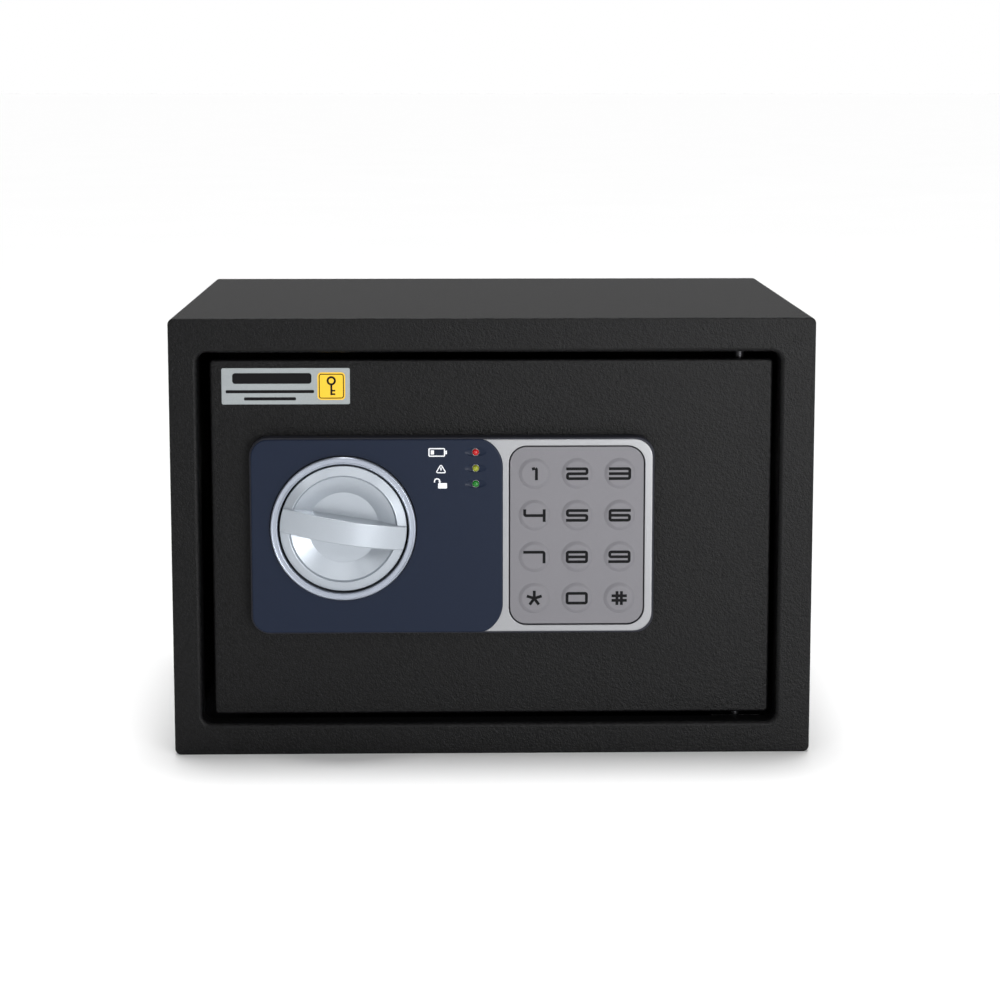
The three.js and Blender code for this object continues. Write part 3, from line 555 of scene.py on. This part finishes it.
def make_studio():
    world = bpy.data.worlds.new("studio")
    bpy.context.scene.world = world
    world.use_nodes = True
    nodes, links = world.node_tree.nodes, world.node_tree.links
    seen = nodes["Background"]
    seen.inputs["Color"].default_value = (1, 1, 1, 1)
    seen.inputs["Strength"].default_value = 1.0
    lighting = nodes.new("ShaderNodeBackground")
    # the room: dim in front of the safe and brighter behind it
    direction = nodes.new("ShaderNodeTexCoord")
    split = nodes.new("ShaderNodeSeparateXYZ")
    links.new(direction.outputs["Generated"], split.inputs["Vector"])
    depth = nodes.new("ShaderNodeMapRange")
    depth.inputs["From Min"].default_value = -ROOM_BLEND
    depth.inputs["From Max"].default_value = ROOM_BLEND
    depth.inputs["To Min"].default_value = ROOM_FRONT
    depth.inputs["To Max"].default_value = ROOM_BACK
    links.new(split.outputs["Y"], depth.inputs["Value"])
    links.new(depth.outputs["Result"], lighting.inputs["Strength"])
    rays = nodes.new("ShaderNodeLightPath")
    mix = nodes.new("ShaderNodeMixShader")
    links.new(rays.outputs["Is Camera Ray"], mix.inputs["Fac"])
    links.new(lighting.outputs["Background"], mix.inputs[1])
    links.new(seen.outputs["Background"], mix.inputs[2])
    links.new(mix.outputs["Shader"], nodes["World Output"].inputs["Surface"])

    data = bpy.data.lights.new("overhead", "SUN")
    data.angle = OVERHEAD_ANGLE
    data.energy = OVERHEAD
    overhead = bpy.data.objects.new("overhead", data)
    overhead.rotation_euler = (OVERHEAD_TILT, 0, 0)
    bpy.context.scene.collection.objects.link(overhead)
    for name, (at, target, size, power) in SOFTBOXES.items():
        area_light(name, at, target, size, power)

    mesh = bpy.data.meshes.new("floor")
    corners = [(x * FLOOR_REACH, y * FLOOR_REACH, 0) for x, y in ((-1, -1), (1, -1), (1, 1), (-1, 1))]
    mesh.from_pydata(corners, [], [(0, 1, 2, 3)])
    paint = surface("floor_paint", FLOOR_WHITE, 0.9, grain=400, tint=0.005, specular=0.0)
    mesh.materials.append(paint)
    floor = bpy.data.objects.new("floor", mesh)
    bpy.context.scene.collection.objects.link(floor)
    bpy.context.scene.view_settings.view_transform = "Standard"


make_camera()
make_studio()

# ---- body -----------------------------------------------------------------------------------------
flange = Box("front_frame")
wrap = Box("body_wrap")
back_panel = Box("back_panel")
OUTSIDE = flange.rectangle()
OPENING = (
    flange.left + BORDER["left"],
    flange.right - BORDER["right"],
    flange.bottom + BORDER["bottom"],
    flange.top - BORDER["top"],
)


def quarter(edge, steps=5):
    """(inset, depth) steps round a folded edge, from the side wall to the face."""
    return [(edge * (1 - math.cos(a)), edge * (1 - math.sin(a))) for a in quarter_turn(steps)]


def front_flange():
    """The folded front: outer bend, flat face, fold into the doorway and return lip."""
    front = flange.front
    joint = front + SHEET + 1
    rings = [(rounded(OUTSIDE, BODY_CORNER), joint)]
    rings += [(rounded(OUTSIDE, BODY_CORNER, -inset), front + depth) for inset, depth in quarter(OUTER_BEND)]
    for inset, depth in reversed(quarter(LIP_FOLD, 8)):
        rings.append((rounded(OPENING, OPENING_CORNER, inset), front + depth))
    end = front + LIP_DEPTH
    half = LIP_SHEET / 2
    for i in range(5):
        a = math.pi * i / 4
        inset = half * (1 - math.cos(a))
        rings.append((rounded(OPENING, OPENING_CORNER, inset), end - half * (1 - math.sin(a))))
    rings.append((rounded(OPENING, OPENING_CORNER, LIP_SHEET), front + SHEET))
    rings.append((rounded(OUTSIDE, BODY_CORNER, -SHEET), front + SHEET))
    rings.append((rounded(OUTSIDE, BODY_CORNER, -SHEET), joint))
    return band(rings)


def sleeve():
    """Top, sides and floor in one sheet, with two anchor holes in the floor."""
    start = flange.front + SHEET + 1
    end = wrap.back
    edge = 0.4
    tube = band([
        (rounded(OUTSIDE, BODY_CORNER), start),
        (rounded(OUTSIDE, BODY_CORNER), end - edge),
        (rounded(OUTSIDE, BODY_CORNER, -edge), end),
        (rounded(OUTSIDE, BODY_CORNER, -SHEET), end),
        (rounded(OUTSIDE, BODY_CORNER, -SHEET), start),
    ])
    drill = turned([(0, -5), (ANCHOR_RADIUS, -5), (ANCHOR_RADIUS, 5), (0, 5)], 48)
    upright = Matrix.Rotation(math.pi / 2, 4, "X")
    drills = [placed(drill, Matrix.Translation((x, ANCHOR_Y, 0)) @ upright) for x in (-ANCHOR_X, ANCHOR_X)]
    return combined(tube, "DIFFERENCE", *drills)


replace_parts(piece("front_flange", *front_flange(), POWDER, "root", "powder_coat"), "front_frame")
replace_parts(piece("body_shell", *sleeve(), POWDER, "root", "powder_coat"), "body_wrap")


def rear_plate():
    front, back = back_panel.front, back_panel.back
    wall = [(rounded(OUTSIDE, BODY_CORNER, -inset), y) for inset, y in eased(front, back, 0.3, 0.9)]
    holes = []
    for x in (-ANCHOR_X, ANCHOR_X):
        holes.append([(circle(x, back_panel.z, ANCHOR_RADIUS + inset, 48), y)
                      for inset, y in eased(front, back, 0.2, 0.5)])
    return plated(wall, holes)


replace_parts(piece("rear_plate", *rear_plate(), POWDER, "root", "powder_coat"), "back_panel")

# ---- door -----------------------------------------------------------------------------------------
door = Box("door_plate")
door_edge = eased(door.front, door.back, 1.2, 0.4)
door_wall = [(rounded(door.rectangle(), DOOR_CORNER, -inset), y) for inset, y in door_edge]
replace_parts(piece("door_skin", *plated(door_wall), POWDER, "door", "powder_coat"), "door_plate")

# ---- control panel --------------------------------------------------------------------------------
panel = Box("panel_housing")
bezel = Box("knob_bezel")
keypad = Box("keypad_mat")
film = Box("faceplate")
BEZEL_RADIUS = (bezel.right - bezel.left) / 2
BEZEL_BORE = BEZEL_RADIUS - RING_WIDTH
LAMP_PLACES = {name: Box(name) for name in LAMPS}


def panel_shell():
    """The dark moulded housing, open for the knob and the keypad."""
    wall = [(rounded(panel.rectangle(), PANEL_CORNER, -inset), y)
            for inset, y in eased(panel.front, panel.back, 0.8, 0.2, 6)]
    knob_hole = [(circle(bezel.x, bezel.z, BEZEL_RADIUS + RING_GAP), y) for y in (panel.front, panel.back)]
    pocket = [(rounded(keypad.rectangle(), KEYPAD_CORNER, POCKET_GAP), y) for y in (panel.front, panel.back)]
    return plated(wall, [knob_hole, pocket])


def panel_face():
    """The silver face on the housing's front, from under the blue plate to the right edge."""
    left, right, bottom, top = panel.rectangle()
    area = (film.right - FACE_LAP, right - FACE_INSET, bottom + FACE_INSET, top - FACE_INSET)
    front, back = film.back, panel.front
    path = [(FACE_EDGE * (1 - math.sin(a)), front + (back - front) * (1 - math.cos(a)))
            for a in quarter_turn(5)]
    wall = [(rounded(area, PANEL_CORNER, -inset), y) for inset, y in path]
    pocket = [(rounded(keypad.rectangle(), KEYPAD_CORNER, POCKET_GAP + inset * 0.6), y) for inset, y in path]
    return plated(wall, [pocket])


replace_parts(piece("panel_shell", *panel_shell(), HOUSING, "door", "case_plastic"), "panel_housing")
piece("panel_face", *panel_face(), SILVER, "door", "silver_plastic")


def sweep(grow, steps=16):
    """The faceplate's outline: round corners on the left, long swept corners on the right."""
    left, right = panel.left + PLATE_INSET - grow, film.right + grow
    bottom, top = film.bottom + PLATE_INSET - grow, film.top - PLATE_INSET + grow
    corner = PANEL_CORNER - PLATE_INSET + grow
    width, upper, lower = SWEEP_WIDTH + grow, SWEEP_UPPER + grow, SWEEP_LOWER + grow

    def swept(start, first, second, end):
        points = [Vector(p) for p in (start, first, second, end)]
        result = []
        for i in range(steps + 1):
            t = i / steps
            weights = ((1 - t) ** 3, 3 * t * (1 - t) ** 2, 3 * t * t * (1 - t), t ** 3)
            result.append(tuple(sum((p * w for p, w in zip(points, weights)), Vector((0, 0)))))
        return result

    lower_right = swept((right - width, bottom), (right - width / 2, bottom), (right, bottom + lower / 2),
                        (right, bottom + lower))
    upper_right = swept((right, top - upper), (right, top - upper / 2), (right - width / 2, top),
                        (right - width, top))
    upper_left = arc((left + corner, top - corner), corner, 90, 180, 8)
    lower_left = arc((left + corner, bottom + corner), corner, 180, 270, 8)
    return lower_right + upper_right + upper_left + lower_left


def faceplate():
    wall = [(sweep(-inset), y) for inset, y in eased(film.front, film.back, 0.7, 0.0, 5)]
    knob_hole = [(circle(bezel.x, bezel.z, BEZEL_RADIUS + RING_GAP), y) for y in (film.front, film.back)]
    holes = [knob_hole]
    for lamp in LAMP_PLACES.values():
        dish = []
        for i in range(7):
            t = i / 6
            half_width = DISH_HALF_WIDTH + (LAMP_HOLE - DISH_HALF_WIDTH) * t
            sink = DISH_SINK * math.sin(math.pi / 2 * t)
            dish.append((ellipse(lamp.x, lamp.z, half_width, DISH_HALF_HEIGHT), film.front + sink))
        dish.append((ellipse(lamp.x, lamp.z, LAMP_HOLE, DISH_HALF_HEIGHT), film.back))
        holes.append(dish)
    return plated(wall, holes)


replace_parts(piece("faceplate_film", *faceplate(), BLUE, "door", "blue_plastic"), "faceplate")


def bezel_ring():
    front, back = bezel.front, bezel.back
    outer, inner = BEZEL_RADIUS - 0.2, BEZEL_BORE
    band_y = front + 0.3
    profile = [
        (inner, back),
        (inner, front + 0.6),
        (inner + 0.5, front),
        (inner + 1.0, band_y),
        (outer - 1.1, band_y),
        (outer - 0.6, front),
        (outer, front + 0.7),
        (outer, back),
    ]
    radii = [0, 0.15, 0.4, 0.2, 0.2, 0.45, 0.3, 0]
    shape = turned(filleted(profile, radii), 160, closed=True)
    return placed(shape, Matrix.Translation((bezel.x, 0, bezel.z)))


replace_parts(piece("bezel_ring", *bezel_ring(), RING_PAINT, "door", "silver_plastic", sharp=50), "knob_bezel")

# ---- knob -----------------------------------------------------------------------------------------
knob = Box("knob")
KNOB_RADIUS = (knob.right - knob.left) / 2


def knob_cap():
    """A dished cap with an arched grip bar across it, drawn about the origin."""
    crest = knob.front + GRIP_PROUD - 0.6
    radius = KNOB_RADIUS - 0.2
    floor = crest + DISH_FLOOR
    back = knob.back
    profile = [
        (0, floor),
        (HUB_RADIUS, floor),
        (DISH_RADIUS - 0.2, crest + 1.5),
        (DISH_RADIUS + 0.5, crest),
        (radius, crest + 1.9),
        (radius, back),
        (0, back),
    ]
    radii = [0, 0.8, 0.5, 0.5, 0.5, 0.3, 0]
    dished = turned(filleted(profile, radii, 6), 160)

    # the grip: a bar with a bowed front, rounded along both edges
    half = GRIP_WIDTH / 2
    edge = GRIP_EDGE
    steps = 48
    section = [(-half, back - 1)]
    section += [(-half + edge * (1 - math.cos(a)), edge * (1 - math.sin(a))) for a in quarter_turn(5)]
    section += [(half - edge * (1 - math.sin(a)), edge * (1 - math.cos(a))) for a in quarter_turn(5)]
    section += [(half, back - 1)]
    vertices, faces = [], []
    for k in range(steps + 1):
        along = -radius - 1 + (2 * radius + 2) * k / steps
        bow = 1 - (along / radius) ** 2
        top = crest + 0.9 - (GRIP_PROUD + 0.3) * bow
        for across, depth in section:
            y = depth if depth == back - 1 else top + depth
            vertices.append((along, y, across))
    count = len(section)
    for k in range(steps):
        a, b = k * count, (k + 1) * count
        faces += [(a + i, a + (i + 1) % count, b + (i + 1) % count, b + i) for i in range(count)]
    faces.append(list(range(count)))
    faces.append(list(range(steps * count, (steps + 1) * count)))
    bar = (vertices, faces)
    trim = turned([(0, knob.front - 5), (radius - 0.25, knob.front - 5), (radius - 0.25, back - 0.5),
                   (0, back - 0.5)], 160)
    bar = combined(bar, "INTERSECT", trim)
    turn = Matrix.Rotation(KNOB_TILT, 4, "Y")
    shape = combined(dished, "UNION", placed(bar, turn))
    return placed(shape, Matrix.Translation((knob.x, 0, knob.z)))


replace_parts(piece("knob_cap", *knob_cap(), KNOB_PAINT, "knob", "knob_plastic", sharp=24), "knob")

# ---- keypad ---------------------------------------------------------------------------------------
def keypad_film():
    wall = [(rounded(keypad.rectangle(), KEYPAD_CORNER, -inset), y)
            for inset, y in eased(keypad.front + FILM_SINK, keypad.back, 0.35, 0.1)]
    faces_y = (keypad.front + FILM_SINK, keypad.back)
    holes = []
    for name in KEYS:
        key = Box("key_" + name)
        holes.append([(circle(key.x, key.z, KEY_HOLE, 72), y) for y in faces_y])
    return plated(wall, holes)


def key_cap(key):
    """A low embossed disc: a soft rim that rises from the film to a flat top."""
    radius = (key.right - key.left) / 2
    film_y = keypad.front + FILM_SINK
    profile = [
        (0, key.front),
        (KEY_FLAT, key.front),
        (KEY_FOOT, film_y),
        (radius, film_y),
        (radius, key.back),
        (0, key.back),
    ]
    radii = [0, 2.0, 0.5, 0.05, 0.1, 0]
    shape = turned(filleted(profile, radii, 4), 72)
    return placed(shape, Matrix.Translation((key.x, 0, key.z)))


def glyph(name):
    """The strokes of a wide, square-cut digit, as lines of points on a grid from -1 to 1."""
    out, up = OPEN_X, OPEN_Z
    box = [(0, 1), (1, 1), (1, -1), (-1, -1), (-1, 1), (0, 1)]
    middle = [(-1, 0), (1, 0)]
    lines = {
        "1": [[(-0.26, 0.95), (0.03, 1.1), (0.2, 1.1), (0.2, -up)]],
        "2": [[(-out, 1), (1, 1), (1, 0), (-1, 0), (-1, -1), (out, -1)]],
        "3": [[(-out, 1), (1, 1), (1, -1), (-out, -1)], [(-out, 0), (1, 0)]],
        "4": [[(-1, up), (-1, 0), (1, 0)], [(1, up), (1, -up)]],
        "5": [[(out, 1), (-1, 1), (-1, 0), (1, 0), (1, -1), (-out, -1)]],
        "6": [[(out, 1), (-1, 1), (-1, -1), (1, -1), (1, 0), (-1, 0)]],
        "7": [[(-out, 1), (1, 1), (1, -up)]],
        "8": [box, middle],
        "9": [[(1, 0), (-1, 0), (-1, 1), (1, 1), (1, -1), (-out, -1)]],
        "0": [box],
        "hash": [
            [(-0.79, -0.47), (0.79, -0.47)],
            [(-0.79, 0.47), (0.79, 0.47)],
            [(-0.23, -1.42), (-0.23, 1.42)],
            [(0.23, -1.42), (0.23, 1.42)],
        ],
    }
    if name == "star":
        angles = [math.pi / 2 + 2 * math.pi * i / 5 for i in range(5)]
        tips = [(STAR_ARM * math.cos(a) / GLYPH[0], STAR_ARM * math.sin(a) / GLYPH[1]) for a in angles]
        return [[(0, 0), tip] for tip in tips]
    return lines[name]


def digit(name, key):
    strokes = []
    for line in glyph(name):
        points = [(key.x + x * GLYPH[0], key.z + z * GLYPH[1]) for x, z in line]
        strokes += ribbon(filleted(points, [STROKE_CORNER] * len(points), 4), STROKE)
    return printed(strokes, key.front - 0.05, 0.1)


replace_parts(piece("keypad_field", *keypad_film(), FILM, "door", "keypad_film"), "keypad_mat")
for name in KEYS:
    key = Box("key_" + name)
    cap_piece = piece("key_cap_" + name, *key_cap(key), FILM, "key_" + name, "keypad_film", sharp=60)
    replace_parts(cap_piece, "key_" + name)
    piece("key_mark_" + name, *digit(name, key), BLACK_INK, "key_" + name, "keypad_film")

# ---- lamps and their signs --------------------------------------------------------------------------


def lamp_lens(lamp):
    radius = (lamp.right - lamp.left) / 2
    dome = [(radius * math.sin(a), lamp.front + LENS_DOME * (1 - math.cos(a))) for a in quarter_turn(8)]
    shape = turned(dome + [(radius, lamp.back), (0, lamp.back)], 48)
    return placed(shape, Matrix.Translation((lamp.x, 0, lamp.z)))


for name, lamp in LAMP_PLACES.items():
    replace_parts(piece("lens_" + name, *lamp_lens(lamp), LAMPS[name], "door", name, sharp=60), name)


def battery_sign(x, z):
    """An almost empty battery: an outline, its terminal and one bar. x is the right edge."""
    half_height, width, line = 2.1, 8.0, 0.55
    left, right = x - width - 0.9, x - 0.9
    frame_line = rounded((left, right, z - half_height, z + half_height), 0.7, -line / 2, 4)
    terminal = (right + 0.15, x, z - 0.9, z + 0.9)
    bar = (left + 1.1, left + 2.7, z - half_height + 1.1, z + half_height - 1.1)
    return [*ribbon(frame_line, line, closed=True), rounded(terminal, 0.2, 0, 3), rounded(bar, 0.15, 0, 3)]


def warning_sign(x, z):
    """A triangle with a stroke inside. x is the right edge."""
    half_width, half_height, line = 2.9, 2.35, 0.5
    middle = x - half_width
    corners = [
        (middle, z + half_height - line),
        (x - line, z - half_height + line / 2),
        (x - 2 * half_width + line, z - half_height + line / 2),
    ]
    triangle = filleted(corners, [0.45] * 3, 4, closed=True)
    stroke = ribbon([(middle, z + 0.5), (middle, z - 1.0)], 0.6)
    return [*ribbon(triangle, line, closed=True), *stroke]


def unlocked_sign(x, z):
    """A padlock with its shackle swung open. x is the right edge."""
    body = (x - 4.3, x, z - 2.2, z + 0.45)
    shackle = [(x - 3.5, z + 0.6), (x - 3.5, z + 1.3)]
    shackle += arc((x - 4.75, z + 1.3), 1.25, 0, 180, 12)
    shackle += [(x - 6.0, z + 0.75)]
    return [rounded(body, 0.4, 0, 4), *ribbon(shackle, 0.6)]


SIGNS = {"led_red": battery_sign, "led_yellow": warning_sign, "led_green": unlocked_sign}
for name, sign in SIGNS.items():
    print_front = film.front - 0.04
    shape = printed(sign(SIGN_RIGHT, LAMP_PLACES[name].z), print_front, 0.06)
    piece("sign_" + name, *shape, WHITE_INK, "door", "blue_plastic")

# ---- sticker on the door ----------------------------------------------------------------------------
label = Box("label")


def sticker():
    edge = eased(label.front, label.back, 0.08, 0.0, 2)
    wall = [(rounded(label.rectangle(), 0.8, -inset), y) for inset, y in edge]
    return plated(wall)


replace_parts(piece("sticker", *sticker(), LABEL_FILM, "door", "label_film"), "label")

tile_x = label.right - 2.2 - TILE_SIZE / 2
tile_box = (tile_x - TILE_SIZE / 2, tile_x + TILE_SIZE / 2, label.z - TILE_SIZE / 2, label.z + TILE_SIZE / 2)
line_box = (label.left + 2.0, tile_box[0] - 1.6)
line_middle = sum(line_box) / 2


def sticker_bars():
    """Where a label has its words: one heavy bar over two fine lines, and nothing to read."""
    heavy = (line_box[0] + 3.2, line_box[1] - 1.2, label.z + 1.2, label.z + 6.4)
    bars = [rounded(heavy, 1.4, 0, 5)]
    for z, half in ((label.z - 2.6, (line_box[1] - line_box[0]) / 2), (label.z - 6.1, 12.5)):
        bars.append(rounded((line_middle - half, line_middle + half, z - 0.75, z + 0.75), 0.5, 0, 4))
    return bars


def tile_key():
    """A plain key sign: a ring, a stem and two teeth."""
    signs = ribbon(circle(tile_x, label.z + 2.6, 1.75, 24), 1.0, closed=True)
    signs += ribbon([(tile_x, label.z + 1.0), (tile_x, label.z - 4.4)], 0.95)
    for drop in (2.2, 3.9):
        signs += ribbon([(tile_x, label.z - drop), (tile_x + 1.9, label.z - drop)], 0.8)
    return signs


PRINT = label.front - 0.03
piece("sticker_bars", *printed(sticker_bars(), PRINT, 0.05), BLACK_INK, "door", "label_film")
tile = printed([rounded(tile_box, TILE_CORNER)], PRINT, 0.05)
piece("sticker_tile", *tile, YELLOW_INK, "door", "label_film")
tile_edge = ribbon(rounded(tile_box, TILE_CORNER, -0.9), 0.45, closed=True)
piece("sticker_key", *printed([*tile_edge, *tile_key()], PRINT - 0.03, 0.05), BLACK_INK, "door", "label_film")

# ---- floor mat ------------------------------------------------------------------------------------
mat = Box("floor_mat")


def felt_mat():
    """A cut sheet of felt with soft edges and two holes over the anchor holes."""
    rings = [(rounded(mat.rectangle_flat(), 1.5, -inset, 3), y)
             for inset, y in eased(mat.bottom, mat.top, 0.5, 0.7, 4)]
    holes = []
    for x in (-ANCHOR_X, ANCHOR_X):
        holes.append([(circle(x, ANCHOR_Y, MAT_HOLE + inset, 40), y)
                      for inset, y in eased(mat.bottom, mat.top, 0.4, 0.6, 3)])
    vertices, faces = plated(rings, holes)
    return [(x, z, y) for x, y, z in vertices], faces


felt = piece("felt_mat", *felt_mat(), FELT, "root", "felt")
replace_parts(felt, "floor_mat")

# ---- boltwork, hinge pins, cells and screws: turned pieces ------------------------------------------
def along_x(node, profile, sides=64):
    """A shape turned about the X axis through a node's middle, from (radius, x) points."""
    vertices, faces = turned(profile, sides)
    return [(y, node.y + x, node.z + z) for x, y, z in vertices], faces


def along_z(node, profile, sides=64):
    vertices, faces = turned(profile, sides)
    return [(node.x + x, node.y + z, y) for x, y, z in vertices], faces


for end in ("upper", "lower"):
    rod = Box("bolt_" + end)
    radius = (rod.top - rod.bottom) / 2
    profile = [(0, rod.left), (radius, rod.left), (radius, rod.right), (0, rod.right)]
    shape = along_x(rod, filleted(profile, [0, 1.6, 0.3, 0], 6))
    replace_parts(piece("bolt_rod_" + end, *shape, STEEL, "boltwork", "steel"), "bolt_" + end)

    pin = Box("hinge_pin_" + end)
    head = (pin.right - pin.left) / 2
    if end == "upper":
        profile = [(0, pin.bottom), (PIN_SHANK, pin.bottom), (PIN_SHANK, pin.top - PIN_HEAD_HEIGHT),
                   (head, pin.top - PIN_HEAD_HEIGHT), (head, pin.top), (0, pin.top)]
        radii = [0, 0.4, 0, 0.1, 0.7, 0]
    else:
        profile = [(0, pin.bottom), (head, pin.bottom), (head, pin.bottom + PIN_HEAD_HEIGHT),
                   (PIN_SHANK, pin.bottom + PIN_HEAD_HEIGHT), (PIN_SHANK, pin.top), (0, pin.top)]
        radii = [0, 0.7, 0.1, 0, 0.4, 0]
    shape = along_z(pin, filleted(profile, radii, 4), 48)
    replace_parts(piece("hinge_rod_" + end, *shape, PIN_STEEL, "root", "steel"), "hinge_pin_" + end)


def cell_shape(cell, nub_up):
    """A cell's can with rolled ends and its contact nub."""
    radius = (cell.right - cell.left) / 2
    low, high = (cell.bottom, cell.top - NUB_HEIGHT) if nub_up else (cell.bottom + NUB_HEIGHT, cell.top)
    profile = [(0, low), (radius, low), (radius, high), (0, high)]
    radii = [0, 0.6, 0.6, 0]
    can = filleted(profile, radii, 4)
    if nub_up:
        tip = high + NUB_HEIGHT
        can = can[:-1] + filleted([(NUB_RADIUS, high), (NUB_RADIUS, tip), (0, tip)], [0, 0.4, 0], 3)
    else:
        tip = low - NUB_HEIGHT
        can = filleted([(0, tip), (NUB_RADIUS, tip), (NUB_RADIUS, low)], [0, 0.4, 0], 3) + can[1:]
    return along_z(cell, can, 48)


for number in range(1, 5):
    name = f"battery_{number}"
    shape = cell_shape(Box(name), number % 2 == 0)
    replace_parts(piece("cell_" + str(number), *shape, CELL_SLEEVE, "door", "cell_sleeve"), name)


def screw(node):
    """A pan-head screw with a cross recess, seen from inside the safe."""
    head = (node.right - node.left) / 2
    seat = node.back - SCREW_HEAD_HEIGHT
    profile = [
        (0, node.front),
        (1.2, node.front),
        (SCREW_SHANK, node.front + 0.5),
        (SCREW_SHANK, seat),
        (head, seat),
        (head, node.back - 1.0),
        (head * 0.55, node.back - 0.1),
        (0, node.back),
    ]
    shank = placed(turned(filleted(profile, [0, 0, 0, 0, 0.2, 0.8, 1.5, 0], 4), 48),
                   Matrix.Translation((node.x, 0, node.z)))
    slots = []
    for half_x, half_z in ((SLOT_HALF_LENGTH, SLOT_HALF_WIDTH), (SLOT_HALF_WIDTH, SLOT_HALF_LENGTH)):
        outline = rounded((node.x - half_x, node.x + half_x, node.z - half_z, node.z + half_z), 0.15, 0, 2)
        slots.append(plated([(outline, node.back - 1.1), (outline, node.back + 1)]))
    return combined(shank, "DIFFERENCE", *slots)


for number in range(1, 5):
    name = f"cover_screw_{number}"
    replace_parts(piece("pan_screw_" + str(number), *screw(Box(name)), STEEL, "door", "steel"), name)

# ---- CAD nodes that are shown as they are -----------------------------------------------------------
LOOKS = {
    "powder_coat": POWDER,
    "felt": FELT,
    "steel": STEEL,
    "zinc": ZINC,
    "brass": BRASS,
    "silver_plastic": SILVER,
    "blue_plastic": BLUE,
    "knob_plastic": KNOB_PAINT,
    "keypad_film": FILM,
    "label_film": LABEL_FILM,
    "board": BOARD,
    "ribbon": RIBBON,
    "copper": COPPER,
    "case_plastic": CASE_PLASTIC,
    "cell_sleeve": CELL_SLEEVE,
    "red_plastic": RED_PLASTIC,
    **LAMPS,
}
EDGES = {"lock_case": 0.7, "battery_cover": 0.35, "reset_button": 0.5, "crank": 0.4}
for subpart in frame["record"]["subparts"]:
    node = frame["nodes"][subpart["node"]]
    for material_slot in node.material_slots:
        material_slot.link = "OBJECT"
        material_slot.material = LOOKS[subpart["material_slot"]]
    flat = node.modifiers.new("flat_faces", "DECIMATE")
    flat.decimate_type = "DISSOLVE"
    flat.angle_limit = math.radians(0.5)
    bevel = node.modifiers.new("worn_edges", "BEVEL")
    bevel.width = EDGES.get(subpart["node"], 0.3) * MM
    bevel.segments = 2
    bevel.limit_method = "ANGLE"
    bevel.angle_limit = math.radians(40)
